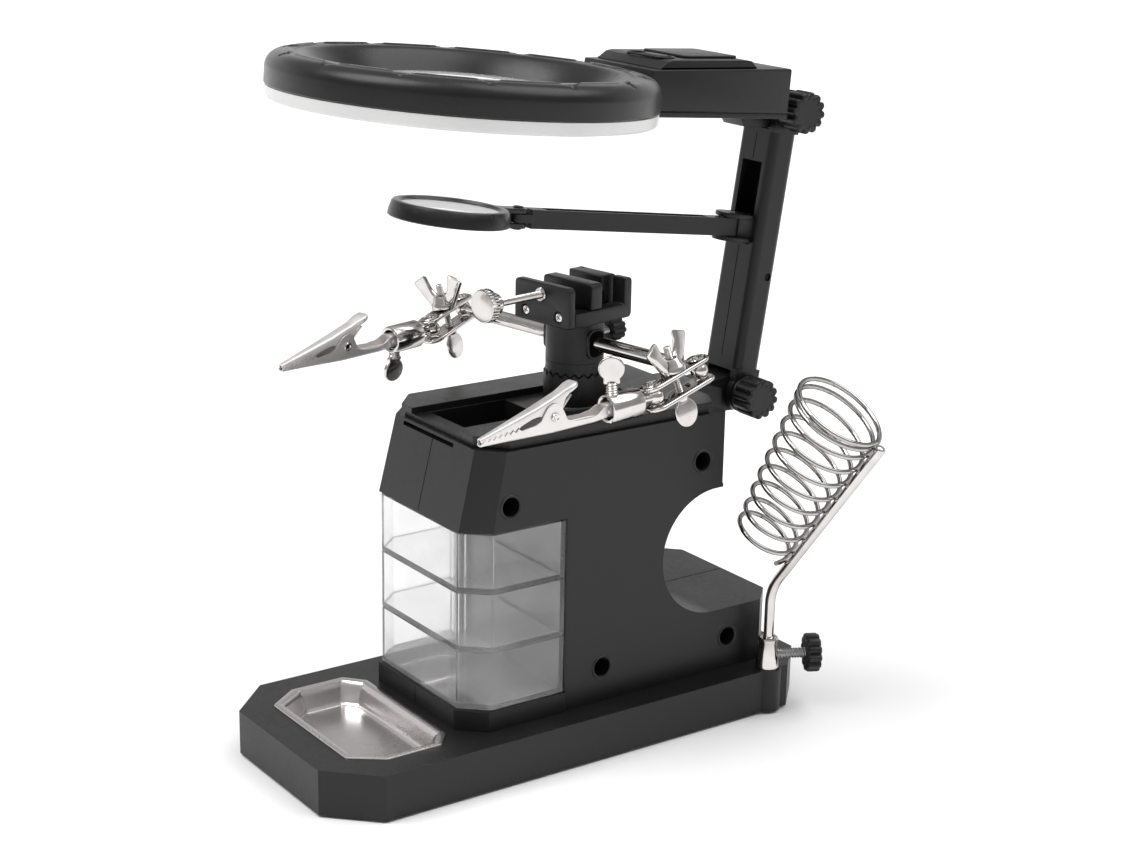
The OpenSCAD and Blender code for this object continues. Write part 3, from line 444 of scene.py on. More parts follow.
for name in NODES:
    # The mast screws are painted near-black: painted shade for their deep holes.
    carry_over(name, "painted_shade_screw_steel" if name == "mast_screws" else BY_SLOT[SLOT[name]])


# ---- Iron holder ---------------------------------------------------------

ROD_R, WIRE_R, HOLDER_L = 2.1, 1.0, 84
COIL_TURNS, COIL_SPAN, COIL_START = 10, 75.6, 8


def holder_rod():
    """Rod with its bend, from inside the socket to its domed tip."""
    foot = Vector((0, 0, 13.4))
    corner = Vector((0, 0, BEND_Z))
    tip = ROW.inverted() @ (HOLDER @ Vector((0, 0, HOLDER_L)))
    tip -= Vector((SOCKET.x / MM, SOCKET.y / MM, 0))
    run = (tip - corner).normalized()
    bend, steps = 7.0, 13
    a, b = corner - UP * bend, corner + run * bend
    pts = [foot, foot.lerp(a, 0.5), a]
    for i in range(1, steps):
        t = i / steps
        pts.append(a * (1 - t) ** 2 + corner * 2 * t * (1 - t) + b * t * t)
    pts += [b, b.lerp(tip, 0.5), tip - run * 1.2]
    radii = [ROD_R] * len(pts)
    for back, k in ((0.7, 0.93), (0.3, 0.75), (0.05, 0.4)):
        pts.append(tip - run * back)
        radii.append(ROD_R * k)
    make("holder_rod_bent", *tube(pts, ROD_R, 24, radii), SOCKET_ROW, "nickel", "holder", "holder_rod")


def holder_coil():
    """Wire wound into a cone that rests against the rod."""
    pts = []
    steps = 40
    for i in range(COIL_TURNS * steps + 1):
        turn = i / steps
        # A close first turn, even pitch, then two turns drawn together at the mouth
        along = (6.2 + min(turn, 1) * 5.6 + max(0, min(turn - 1, 7)) * 8.1
                 + max(0, min(turn - 8, 1)) * 4.6 + max(0, turn - 9) * 2.4)
        r = 11.3 + 7.8 * (along / COIL_SPAN) ** 0.85
        a = 2 * math.pi * turn
        pts.append((r * (math.cos(a) - 1) - ROD_R - WIRE_R, r * math.sin(a), COIL_START + along))
    # The wire's lower end runs on past the rod
    x, y, z = pts[0]
    pts = [(x, y - 7.5, z + 1.2), (x, y - 3.5, z + 0.2)] + pts
    make("holder_coil_wire", *tube(pts, WIRE_R, 12), HOLDER, "wire_steel", "holder", "holder_coil",
         slot="nickel")


holder_rod()
holder_coil()


def slab(outlines, z0, z1, edge):
    """Flat outlines (first the rim, then holes) from z0 to z1 with rounded edges."""
    curve = bpy.data.curves.new("outline", "CURVE")
    curve.dimensions = "2D"
    curve.fill_mode = "BOTH"
    for outline in outlines:
        s = curve.splines.new("POLY")
        s.points.add(len(outline) - 1)
        for p, (x, y) in zip(s.points, outline):
            p.co = (x, y, 0, 1)
        s.use_cyclic_u = True
    curve.extrude = (z1 - z0) / 2 - edge
    curve.bevel_depth = edge
    curve.bevel_resolution = 2
    curve.offset = -edge
    temp = bpy.data.objects.new("outline", curve)
    bpy.context.scene.collection.objects.link(temp)
    me = bpy.data.meshes.new_from_object(temp.evaluated_get(
        bpy.context.evaluated_depsgraph_get()))
    verts = [(v.co.x, v.co.y, v.co.z + (z0 + z1) / 2) for v in me.vertices]
    faces = [tuple(p.vertices) for p in me.polygons]
    bpy.data.objects.remove(temp)
    bpy.data.curves.remove(curve)
    bpy.data.meshes.remove(me)
    return verts, faces


def circle(x, y, r, n=40):
    return [(x + r * math.cos(2 * math.pi * k / n), y + r * math.sin(2 * math.pi * k / n))
            for k in range(n)]


def stadium(x0, x1, r, n=20):
    """Slot outline of radius r from x0 to x1."""
    left = [(x0 + r * math.cos(a), r * math.sin(a))
            for a in [math.pi / 2 + math.pi * k / n for k in range(n + 1)]]
    right = [(x1 + r * math.cos(a), r * math.sin(a))
             for a in [-math.pi / 2 + math.pi * k / n for k in range(n + 1)]]
    return left + right


def rounded(points, r, n=5):
    """Polygon with its corners rounded by r, or by a list of radii."""
    out = []
    count = len(points)
    for i, p in enumerate(points):
        p = Vector(p)
        a, b = Vector(points[i - 1]), Vector(points[(i + 1) % count])
        ri = r[i] if isinstance(r, (list, tuple)) else r
        da, db = (a - p), (b - p)
        angle = da.angle(db)
        cut = min(ri / math.tan(angle / 2) if angle < 3.1 else 0, da.length / 2.05, db.length / 2.05)
        if cut < 1e-4:
            out.append(tuple(p))
            continue
        s, e = p + da.normalized() * cut, p + db.normalized() * cut
        for k in range(n + 1):
            t = k / n
            out.append(tuple(s * (1 - t) ** 2 + p * 2 * t * (1 - t) + e * t * t))
    return out


def box_outline(x0, y0, x1, y1):
    return [(x0, y0), (x1, y0), (x1, y1), (x0, y1)]


def loft(sections, power=4.0, sides=20):
    """Rounded-rectangle sections: (centre, u, v, half_u, half_v)."""
    rows = []
    for c, u, v, hu, hv in sections:
        c, u, v = Vector(c), Vector(u).normalized(), Vector(v).normalized()
        row = []
        for k in range(sides):
            a = 2 * math.pi * (k + 0.5) / sides
            ca, sa = math.cos(a), math.sin(a)
            x = math.copysign(abs(ca) ** (2 / power), ca) * hu
            y = math.copysign(abs(sa) ** (2 / power), sa) * hv
            row.append(tuple(c + u * x + v * y))
        rows.append(row)
    return grid(rows)


def dome(profile_r, z0, z1, edge, n=4):
    """(radius, height) profile of a disc from z0 to z1 with rounded rims."""
    pts = [(0.0, z0)]
    for k in range(n + 1):
        a = math.pi / 2 * k / n
        pts.append((profile_r - edge + edge * math.sin(a), z0 + edge - edge * math.cos(a)))
    for k in range(n + 1):
        a = math.pi / 2 * k / n
        pts.append((profile_r - edge + edge * math.cos(a), z1 - edge + edge * math.sin(a)))
    pts.append((0.0, z1))
    return pts


def lobes(count, depth, sharp=2.2):
    """Wave of rounded flutes for a knob, strongest at its rim."""
    def wave(a, r, z):
        cut = (0.5 - 0.5 * math.cos(count * a)) ** sharp
        return r - depth * cut * min(1.0, r / 5.0) ** 3
    return wave


# ---- Helping hands -------------------------------------------------------

def interp(table, x):
    """Height at x on a line through the table's points."""
    for (x0, y0), (x1, y1) in zip(table, table[1:]):
        if x <= x1:
            t = (x - x0) / (x1 - x0)
            return y0 + (y1 - y0) * max(0.0, min(1.0, t))
    return table[-1][1]


def channel(xs, width, low, high, thick, upside=1):
    """Folded sheet channel along X: its closed side at low(x), its edges at high(x)."""
    rows = []
    for x in xs:
        w, lo, hi = width(x), low(x), high(x)
        c = min(0.55 * w, 1.1)
        lift = upside * c
        outer = [(-w, hi), (-w, lo + lift)]
        for k in range(1, 5):
            a = math.pi / 2 * k / 4
            outer.append((-w + c - c * math.cos(a), lo + lift - lift * math.sin(a)))
        outer += [(-y, z) for y, z in reversed(outer)]
        wi, ci = w - thick, max(c - thick, 0.15)
        li = lo + upside * thick
        inner = [(-wi, hi), (-wi, li + upside * ci)]
        for k in range(1, 5):
            a = math.pi / 2 * k / 4
            inner.append((-wi + ci - ci * math.cos(a),
                          li + upside * (ci - ci * math.sin(a))))
        inner += [(-y, z) for y, z in reversed(inner)]
        rows.append([(x, y, z) for y, z in outer + inner[::-1]])
    return grid(rows)


CLIP_TIP, TEETH, TOOTH_PITCH, TOOTH_DEPTH = 80.0, 7, 2.3, 1.1
SHEET = 0.5
TEETH_START = CLIP_TIP - 0.6 - TOOTH_PITCH * TEETH
TOOTH_XS = {round(TEETH_START + TOOTH_PITCH * k / 4, 3) for k in range(4 * TEETH + 1)}


def teeth(x, phase):
    """Height of the saw teeth at x."""
    if x < TEETH_START or x > CLIP_TIP - 0.6:
        return 0.0
    u = ((x - TEETH_START) / TOOTH_PITCH + phase) % 1.0
    return TOOTH_DEPTH * (1 - abs(2 * u - 1))


def clip(side):
    """Alligator clip: folded sheet jaws with cut teeth, a rivet and its spring."""
    h = HAND[side]
    pivot = (h.inverted() @ joint_pos(f"{side}_clip_open"))
    wide = [(23, 2.3), (26, 2.6), (31, 3.3), (50, 3.4), (CLIP_TIP, 1.4)]
    floor_z = [(23, -2.2), (27, -2.6), (51, -2.2), (CLIP_TIP, -1.2)]
    rim = [(23, 2.2), (26, 2.0), (29, 0.4), (33, -0.2), (40, 0.3), (43.6, 1.6), (44.6, 4.2),
           (46, 6.9), (47.4, 8.2), (49, 8.7), (50.6, 8.3), (52.2, 7.2), (53.6, 5.2),
           (55, 3.2), (57, 2.2), (TEETH_START, 1.4), (CLIP_TIP, -0.1)]
    xs = sorted({round(23 + 0.5 * k, 3) for k in range(68)}
                | TOOTH_XS | {CLIP_TIP - 0.3, CLIP_TIP, 57.0, 57.8, 58.8, 60, 61.2, 62.4})
    xs = [x for x in xs if x <= CLIP_TIP]
    lower = channel(xs, lambda x: interp(wide, x), lambda x: interp(floor_z, x),
                    lambda x: interp(rim, x) + teeth(x, 0.0), SHEET)
    crimp = spun([(0.0, 11.4), (2.6, 11.5), (2.85, 12), (2.85, 22.6), (2.5, 24.4), (0, 24.6)], 28)
    make(f"{side}_clip_jaw_lower", *joined(lower, moved(crimp, rot("Y", 90))), h, "satin_nickel",
         f"{side}_clip", f"{side}_clip_lower", slot="nickel")
    top = [(37, 13.9), (38.5, 14.4), (41, 13.6), (46, 11.5), (56, 8.3), (CLIP_TIP, 1.7)]
    under = [(37, 12.9), (39, 12.5), (42, 11.2), (43.6, 9.6), (45, 6.4), (46.2, 3.2), (48, 1.6),
             (51, 1.6), (53, 3.6), (55, 5.0), (58, 4.8), (TEETH_START, 3.0), (CLIP_TIP, 0.5)]
    slim = [(37, 1.2), (37.8, 2.3), (39, 3.0), (41, 3.2), (44, 2.6), (47, 2.45), (56, 2.4),
            (CLIP_TIP, 1.15)]
    xs = sorted({round(37 + 0.5 * k, 3) for k in range(44)}
                | TOOTH_XS | {37.2, 37.4, 37.7, CLIP_TIP - 0.3, CLIP_TIP, 59.2, 60.4, 61.6, 62.6})
    upper = channel(xs, lambda x: interp(slim, x), lambda x: interp(top, x),
                    lambda x: interp(under, x) - teeth(x, 0.5), SHEET, -1)
    make(f"{side}_clip_jaw_upper", *upper, h, "satin_nickel", f"{side}_clip_upper",
         f"{side}_clip_upper", slot="nickel")
    ends = []
    for end in (-1, 1):
        ring = spun([(0, 3.3), (0.9, 3.35), (1.5, 3.5), (1.75, 3.75), (1.6, 4.05), (1.15, 4.1),
                     (0.8, 3.85), (0, 3.8)], 24)
        ends.append(moved(ring, shift(*pivot) @ rot("X", 90 * end)))
    pin = moved(spun([(0.85, -3.6), (0.85, 3.6)], 16), shift(*pivot) @ rot("X", 90))
    # Return spring: three turns round the rivet and a leg under each handle
    turns, steps = [], 72
    for k in range(steps + 1):
        a = math.radians(200) + 2 * math.pi * 3 * k / steps
        turns.append((1.9 * math.cos(a), 1.9 * math.sin(a), -1.6 + 3.2 * k / steps))
    legs = [(-8.5, 6.4, -1.6)] + turns + [(-10.5, -4.6, 1.6)]
    spring = moved(tube(legs, 0.45, 8), shift(*pivot) @ rot("X", 90))
    make(f"{side}_clip_rivet", *joined(*ends, pin, spring), h, "nickel", f"{side}_clip",
         f"{side}_clip_pivot")


def thumb_paddle(r, thick, neck, reach):
    """Flat round grip with a flared neck, standing along Z from 0."""
    pts = []
    spread = math.radians(38)
    for k in range(31):
        a = -math.pi / 2 + spread + (2 * math.pi - 2 * spread) * k / 30
        pts.append((r * math.cos(a), reach + r * math.sin(a)))
    y0 = pts[-1][1]
    pts += [(-neck * 1.35, y0 - 1.2), (-neck, y0 - 2.6), (-neck, 0)]
    pts += [(neck, 0), (neck, y0 - 2.6), (neck * 1.35, y0 - 1.2)]
    return moved(slab([pts], -thick / 2, thick / 2, thick * 0.38), rot("X", 90))


WING_TURN = {"right": 12, "left": 84}


def wing():
    """One ear of a wing nut: a lofted blade that leans out from the hub."""
    # (distance along the blade, lean in degrees, half width, half thickness)
    stations = ((0, 60, 3.6, 1.7), (2.2, 55, 3.3, 1.6), (4.6, 42, 2.8, 1.45), (7.2, 32, 2.8, 1.35),
                (9.8, 27, 3.2, 1.3), (12.2, 25, 3.7, 1.2), (13.3, 25, 3.6, 1.0), (13.6, 25, 3.1, 0.5))
    pos, last, sections = Vector((2.2, 0, 6.6)), 0, []
    for s, lean, half_w, half_t in stations:
        a = math.radians(lean)
        pos = pos + Vector((math.sin(a), 0, math.cos(a))) * (s - last)
        last = s
        sections.append((pos, (math.cos(a), 0, -math.sin(a)), (0, 1, 0), half_w, half_t))
    return loft(sections, 3.2, 20)


def hand(side):
    """Clamp plates, thumb bolt, wing nut, collar, its screw and the clip of one hand."""
    c, h = CLAMP[side], HAND[side]
    holes = [circle(0, 0, 2.5, 28), circle(CLAMP_L, 0, 2.5, 28), circle(CLAMP_L / 2, 0, 1.7, 20)]
    rim = stadium(0, CLAMP_L, 4.9)
    both = []
    for low, high, out in ((3.2, 4.8, 1), (-4.8, -3.2, -1)):
        both.append(slab([rim] + holes, low, high, 0.6))
        for x in (0, CLAMP_L):
            # Pressed seat round each ball
            seat = lathe([(2.4, 0), (3.4, 0.15), (3.9, 0.5), (3.5, 0.75), (2.9, 0.45), (2.3, 0.4)], 36)
            both.append(moved(seat, shift(x, 0, out * 4.55) @ Matrix.Diagonal((1, 1, out, 1))))
    make(f"{side}_clamp_plates_pressed", *joined(*both), c, "nickel", f"{side}_clamp",
         f"{side}_clamp_plates")
    mid = shift(CLAMP_L / 2, 0, 0)
    stud = thread(1.5, 0.8, -6.2, 15, 0.28, 28, 0.5)
    shoulder = spun([(0, -6.9), (2.2, -6.8), (2.4, -6.4), (2.4, -5.1), (2.2, -4.8), (0, -4.8)], 28)
    grip = moved(thumb_paddle(5.5, 1.5, 1.6, 6.0), shift(0, 0, -6.0) @ rot("X", 180))
    make(f"{side}_thumb_bolt_cast", *moved(joined(stud, shoulder, grip), mid), c, "nickel",
         f"{side}_clamp", f"{side}_thumb_bolt")
    hub = lathe([(1.62, 4.95), (4.7, 4.95), (5.2, 5.3), (5.2, 6.2), (4.7, 7.2), (4.0, 8.2),
                 (3.5, 9.8), (3.1, 10.3), (1.62, 10.4)], 40)
    wings = [moved(wing(), rot("Z", WING_TURN[side] + way)) for way in (0, 180)]
    make(f"{side}_wing_nut_cast", *moved(joined(hub, *wings), mid), c, "nickel",
         f"{side}_wing_nut", f"{side}_wing_nut")
    sleeve = lathe([(1.7, 8.5), (4.6, 8.5), (5.3, 8.8), (5.6, 9.4), (5.6, 22.7), (5.3, 23.3),
                    (4.9, 23.5), (4.2, 23.3), (3.9, 22.6), (3.9, 12.2), (3.4, 11.2), (1.7, 11.2)], 48)
    ball = spun([(0.02, -3.4)] + [(3.4 * math.cos(a), 3.4 * math.sin(a))
                for a in [math.radians(-85 + 10 * k) for k in range(15)]]
                + [(1.9, 3.3), (1.7, 4.2), (1.7, 7.2), (2.1, 8.4), (2.2, 11)], 32)
    body = moved(joined(sleeve, ball), rot("Y", 90))
    make(f"{side}_collar_turned", *body, h, "nickel", f"{side}_hand", f"{side}_collar")
    way = 1 if (h.inverted().to_3x3() @ joint_axis(f"{side}_collar_screw_turn")).z > 0 else -1
    turn = -36 if way > 0 else 0
    up = 9.2 if way > 0 else 7.4
    stem = thread(2.3, 0.95, 3.6, up + 1, 0.42, 28, 0.4)
    paddle = moved(thumb_paddle(4.9, 1.8, 2.3, 5.9), shift(0, 0, up))
    m = shift(20.5, 0, 0) @ (Matrix.Identity(4) if way > 0 else rot("X", 180)) @ rot("Z", turn)
    make(f"{side}_collar_screw_cast", *moved(joined(stem, paddle), m), h, "nickel",
         f"{side}_collar_screw", f"{side}_collar_screw")
    clip(side)


for side in ("right", "left"):
    hand(side)


# ---- Knobs and screws ----------------------------------------------------

def knob_body(r, z0, z1, count=12, depth=1.35, edge=1.0):
    """Fluted hand knob with a shallow dish in its face."""
    pts = [(0.0, z0), (r * 0.86, z0)]
    for k in range(4):
        a = math.pi / 2 * k / 3
        pts.append((r - edge + edge * math.sin(a), z0 + edge - edge * math.cos(a)))
    for k in range(5):
        a = math.pi / 2 * k / 4
        pts.append((r - edge + edge * math.cos(a), z1 - edge + edge * math.sin(a)))
    pts += [(r * 0.78, z1), (r * 0.74, z1 - 0.25), (r * 0.3, z1 - 0.3), (0.0, z1 - 0.3)]
    return spun(pts, 144, lobes(count, depth))


def hinge_knob(name, node_name, height):
    m = MAST @ shift(0, 0, height) @ rot("Y", 90)
    flange = spun([(0, 11.3), (7.2, 11.35), (7.6, 11.7), (7.6, 12.6), (7.3, 13.1), (0, 13.2)], 64)
    bolt = spun([(0, -12), (2, -12), (2, 14), (0, 14)], 32)
    nut = spun([(0, -14), (3.1, -14), (3.6, -13.6), (3.6, -11.3), (0, -11.2)], 6)
    make(name, *joined(knob_body(8.5, 13, 23), flange, bolt, nut), m, "knob_black",
         node_name, node_name)


hinge_knob("lower_knob_moulded", "lower_knob", 0)
hinge_knob("upper_knob_moulded", "upper_knob", MAST_L)

HOLDER_KNOB = axes(joint_pos("holder_knob_turn"), UP.cross(joint_axis("holder_knob_turn")),
                   joint_axis("holder_knob_turn"))
make("holder_knob_moulded", *knob_body(8.1, 15.8, 21.6, 12, 1.3), HOLDER_KNOB, "knob_black",
     "holder_knob", "holder_knob")
make("holder_knob_screw", *thread(2.25, 1.15, 2.6, 16.4, 0.5, 36, 0.6), HOLDER_KNOB,
     "screw_steel", "holder_knob")

ROD_KNOB = TURRET @ shift(0, 0, ROD_Z) @ rot("X", -90)
make("rod_clamp_knob_moulded", *knob_body(4.9, 18, 25.2, 10, 0.9, 0.7), ROD_KNOB, "knob_black",
     "rod_clamp_knob", "rod_clamp_knob")
make("rod_clamp_screw", *thread(1.95, 0.8, 3.2, 18.5, 0.3, 28, 0.5), ROD_KNOB, "screw_steel",
     "rod_clamp_knob")


def vise_screw():
    place = TURRET.inverted() @ joint_pos("vise_screw_turn")
    m = TURRET @ shift(place.x, -50, place.z) @ rot("X", -90)

    def knurl(a, r, z):
        return r - (0.35 * abs(math.sin(18 * a)) if r > 6.2 and 0.3 < z < 3.7 else 0)
    head = spun([(0, 0.25), (5.4, 0.2), (6.0, 0.0), (6.3, 0.15), (6.6, 0.6), (6.6, 3.4), (6.2, 3.9),
                 (4.4, 4.1), (4.2, 4.4), (4.2, 7.3), (3.8, 7.9), (1.4, 8.0), (0, 8.0)], 144, knurl)
    make("vise_screw_knurled", *joined(head, thread(1.6, 0.8, 7.8, 46, 0.36, 28, 0.5)), m,
         "nickel", "vise_screw", "vise_screw")
    bush = lathe([(1.66, 30.5), (2.5, 30.5), (2.9, 30.9), (2.9, 31.6), (1.66, 31.6)], 40)
    make("vise_bush", *bush, m, "nickel", "turret")


vise_screw()


# ---- Vise and turret -----------------------------------------------------

VISE_Z, VISE_TOP, VISE_W, VISE_L = 167.5, 183.7, 15.2, 12.0


def along_y(part):
    """Outline drawn in X and Z, thickness along Y."""
    return moved(part, rot("X", 90) @ Matrix.Diagonal((1, 1, -1, 1)))


def along_x(part):
    """Outline drawn in Y and Z, thickness along X."""
    return moved(part, Matrix(((0, 0, 1, 0), (1, 0, 0, 0), (0, 1, 0, 0), (0, 0, 0, 1))))


def vise():
    place = TURRET.inverted() @ joint_pos("vise_screw_turn")
    face = rounded(box_outline(-VISE_W, VISE_Z, VISE_W, VISE_TOP), [1.2, 1.2, 2.2, 2.2])
    front = along_y(slab([face, circle(place.x, place.z, 2.2, 28),
                          circle(-9.1, 171.4, 2.2, 24), circle(9.1, 171.4, 2.2, 24)],
                         -18.9, -15.5, 0.5))
    make("vise_plate_moulded", *front, TURRET, "black", "turret", "vise_front_plate")
    side = rounded([(-15.3, VISE_Z), (16.25, VISE_Z), (16.25, VISE_TOP), (12.2, VISE_TOP),
                    (12.2, 173), (-15.3, 173)], [0.3, 2.2, 2.2, 0.6, 0.6, 0.6])
    groove = rounded([(-15.3, VISE_Z), (12.5, VISE_Z), (12.5, 169.6), (-15.3, 169.6)], 0.1)
    bed = [along_x(slab([side], 8.2, VISE_W, 0.45)),
           along_x(slab([side], -VISE_L, -8.2, 0.45)),
           along_x(slab([groove], -8.4, 8.4, 0.05))]
    jaw = rounded([(8.0, 177), (8.0, VISE_TOP), (16.25, VISE_TOP), (16.25, VISE_Z), (9.8, VISE_Z),
                   (9.8, 177)], [0.5, 0.8, 2.2, 2.2, 0.1, 0.1])
    bed.append(along_x(slab([jaw], -VISE_L, 6.4, 0.45)))
    make("vise_bed_moulded", *joined(*bed), TURRET, "black", "turret", "vise_body")
    slide = rounded(box_outline(-VISE_L, 173.3, VISE_W, VISE_TOP), [0.8, 0.8, 2.0, 2.0])
    tongue = box_outline(-8, 169.9, 8, 174)
    make("vise_jaw_moulded", *joined(along_y(slab([slide], -6.4, -0.5, 0.5)),
                                     along_y(slab([tongue], -6.2, -0.8, 0.2))),
         TURRET, "black", "vise_jaw", "vise_jaw")
    for i, x in enumerate((-9.1, 9.1)):
        head = spun([(0, 0.0), (1.2, 0.05), (1.7, 0.2), (1.95, 0.55), (2.05, 1.0), (1.9, 1.3),
                     (1.0, 1.4), (1.0, 9), (0, 9)], 32)
        # A flat black cross on each screw head is painted shade for its cross recess.
        cross = [slab([rounded(box_outline(-1.1, -0.22, 1.1, 0.22), 0.05)], 0.0, 0.5, 0.04)]
        cross.append(moved(cross[0], rot("Z", 90)))
        m = TURRET @ shift(x, -18.7, 171.4) @ rot("X", -90)
        make(f"vise_plate_screw_{i}", *head, m, "nickel", "turret",
             *(["vise_plate_screws"] if i == 0 else []))
        make(f"vise_plate_screw_painted_shade_{i}", *joined(*cross), m @ shift(0, 0, -0.02) @ rot("Z", 25),
             "black", "turret")


vise()

POST_R, TURRET_R, SEAM_Z, DECK_PANEL, TEETH_ROUND = 12.4, 11.7, 145.5, 132.0, 20


def turret():
    """Post and turret that meet on a ring of small teeth."""
    steps = TEETH_ROUND * 8

    def zig(k):
        u = (k / steps * TEETH_ROUND) % 1.0
        return 1.0 - 2.0 * abs(2 * u - 1)

    def ring(r, z, wave=0.0):
        return [(r * math.cos(2 * math.pi * k / steps), r * math.sin(2 * math.pi * k / steps),
                 z + wave * zig(k)) for k in range(steps)]
    top = SEAM_Z - 0.15
    rows = [ring(POST_R + 0.9, DECK_PANEL), ring(POST_R + 0.6, DECK_PANEL + 0.5),
            ring(POST_R, DECK_PANEL + 1.1), ring(POST_R, top - 1.3, 0.3), ring(POST_R, top - 0.2, 0.8),
            ring(POST_R - 0.25, top, 0.8), ring(POST_R - 2.2, top, 0.6), ring(4, top - 1.5)]
    make("post_moulded", *grid(rows), TURRET, "black", "station", "post_lower")
    low = SEAM_Z + 0.25
    rows = [ring(3, low + 1.5), ring(TURRET_R - 1.8, low, 0.7), ring(TURRET_R - 0.2, low, 0.8),
            ring(TURRET_R, low + 0.25, 0.8), ring(TURRET_R, low + 1.5, 0.3),
            ring(TURRET_R, 150.3), ring(TURRET_R - 0.2, 150.4), ring(TURRET_R - 0.2, 150.7),
            ring(TURRET_R, 150.8), ring(TURRET_R, VISE_Z - 0.4), ring(TURRET_R - 0.4, VISE_Z)]
    make("turret_moulded", *grid(rows), TURRET, "black", "turret", "turret")
    mouth = rounded(box_outline(-4.7, ROD_Z - 6.4, 4.7, ROD_Z + 5.6), 3.6, 8)
    hole = rounded(box_outline(-3.9, ROD_Z - 5.6, 3.9, ROD_Z + 4.8), 3.4, 8)
    shade = rounded(box_outline(-4.0, ROD_Z - 5.7, 4.0, ROD_Z + 4.9), 3.4, 8)
    for i, (way, out) in enumerate(((-1, 1.6), (1, 0.35))):
        frame_part = along_x(slab([mouth, hole], TURRET_R - 3.5, TURRET_R + out, 0.3))
        flip = Matrix.Diagonal((way, 1, 1, 1))
        make(f"turret_mouth_{i}", *moved(frame_part, flip), TURRET, "black", "turret")
        # A near-black disc behind each mouth is painted shade for the hole into the turret.
        back = along_x(slab([shade], TURRET_R - 1.4, TURRET_R + 0.1, 0.05))
        make(f"turret_mouth_painted_shade_{i}", *moved(back, flip), TURRET, "seam", "turret")


turret()


# ---- Socket, rod and pan -------------------------------------------------

make("socket_turned", *lathe([(2.15, 18.2), (4.9, 18.2), (5.05, 18.6), (4.95, 19.4), (4.6, 22),
                              (4.1, 26), (3.85, 29), (4.1, 29.9), (4.15, 31.0), (3.8, 31.6),
                              (3.2, 31.7), (2.2, 31.3), (2.15, 30)], 64),
     SOCKET_ROW, "nickel", "station", "iron_socket")


def cross_rod():
    m = TURRET @ shift(0, 0, ROD_Z) @ rot("Y", 90)
    half = (joint_pos("right_clamp_swing") - joint_pos("left_clamp_swing")).length / MM / 2
    end = [(3.4 * math.sin(math.radians(a)), half + 3.4 * math.cos(math.radians(a)))
           for a in range(152, -1, -8)]
    right = [(2.98, half - 11), (2.95, half - 9.6), (2.5, half - 8.7), (1.7, half - 8.2),
             (1.6, half - 7), (1.6, half - 3.4)] + end
    left = [(r, -z) for r, z in right[::-1]]
    make("cross_rod_polished", *spun(left + right, 40), m, "nickel", "cross_rod", "cross_rod")


cross_rod()


def pan():
    """Pressed tray: rolled rim, sloping walls with soft corners, slightly domed floor."""
    low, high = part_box("steel_tray")
    x1 = high.x / MM
    y0, y1, zt = low.y / MM, high.y / MM, high.z / MM

    def outline(inset, z, soft):
        w, a, b = x1 - inset, y0 + inset, y1 - inset
        k = inset * 0.45
        pts = [(-w + 9.5 - k, a), (w - 9.5 + k, a), (w, a + 13 - k), (w, b - 7 + k), (w - 8 + k, b),
               (-w + 8 - k, b), (-w, b - 7 + k), (-w, a + 13 - k)]
        return [(x, y, z) for x, y in rounded(pts, soft, 6)]
    rows = [outline(0.0, zt - 0.45, 1.5), outline(0.15, zt - 0.15, 1.5), outline(0.5, zt, 1.6),
            outline(2.2, zt, 1.8), outline(2.9, zt - 0.2, 2.0), outline(3.5, zt - 0.9, 2.2),
            outline(4.2, zt - 2.6, 2.6), outline(5.3, zt - 7.0, 3.0), outline(5.7, zt - 8.2, 3.2),
            outline(6.4, zt - 9.0, 3.4), outline(7.4, zt - 9.35, 3.4), outline(9.5, zt - 9.45, 3.0),
            outline(13, zt - 9.4, 2.6)]
    under = [outline(13, zt - 9.9, 2.6), outline(7.0, zt - 9.85, 3.4), outline(5.6, zt - 9.2, 3.2),
             outline(4.7, zt - 7.0, 3.0), outline(3.4, zt - 1.4, 2.2), outline(2.6, zt - 0.6, 1.8),
             outline(0.3, zt - 0.6, 1.5)]
    # The underside's rows meet the rim again, and a floor closes each face of the sheet
    both = under + rows
    make("pan_pressed", *grid(both), ROW, "stainless", "steel_tray", "steel_tray")


pan()


# ---- Magnifier head ------------------------------------------------------

RING_R, LENS_R, PADS, PAD_STEPS = 73.6, 51.0, 14, 28


def ring():
    """Fat moulded ring: dished inner wall, bead, and grip pads over its outer shoulder."""
    profile = [(58, 0), (56, 0), (LENS_R + 1, 1.2), (LENS_R + 1, 3.4), (54.5, 6.6), (57.2, 9.8)]
    profile += [(61.8 + 4.6 * math.cos(math.radians(a)), 8.2 + 4.6 * math.sin(math.radians(a)))
                for a in range(150, 60, -10)]
    profile += [(r, 12.8) for r in (62.6, 63.2, 63.8, 64.4, 65.0, 65.6, 66.2)]
    profile += [(RING_R - 6.5 + 6.5 * math.cos(math.radians(a)), 6.2 + 6.2 * math.sin(math.radians(a)))
                for a in range(90, -1, -4)]
    profile += [(RING_R, 3), (RING_R, 0.5), (RING_R - 0.4, 0), (RING_R - 2, 0), (RING_R - 2, 6),
                (RING_R - 5, 9.8), (62, 10.8), (59, 9), (58, 3)]
    steps = PADS * PAD_STEPS
    rows = []
    for i in range(steps):
        a = 2 * math.pi * i / steps
        u = abs((i / PAD_STEPS) % 1.0 * 2 - 1)
        # Each pad is raised outside an arc that dips towards the shoulder at the pad's ends
        bound = 63.4 + 7.2 * u ** 4
        row = []
        for r, z in profile:
            over = min(1.0, max(0.0, (z - 9.4) / 2.2))
            sunk = 0.55 * over * (1 - min(1.0, max(0.0, (r - bound) / 0.55)))
            row.append((r * math.cos(a), r * math.sin(a), z - sunk))
        rows.append(row)
    make("ring_moulded", *looped(rows), HEAD, "gloss_black", "head", "head_shell")


ring()


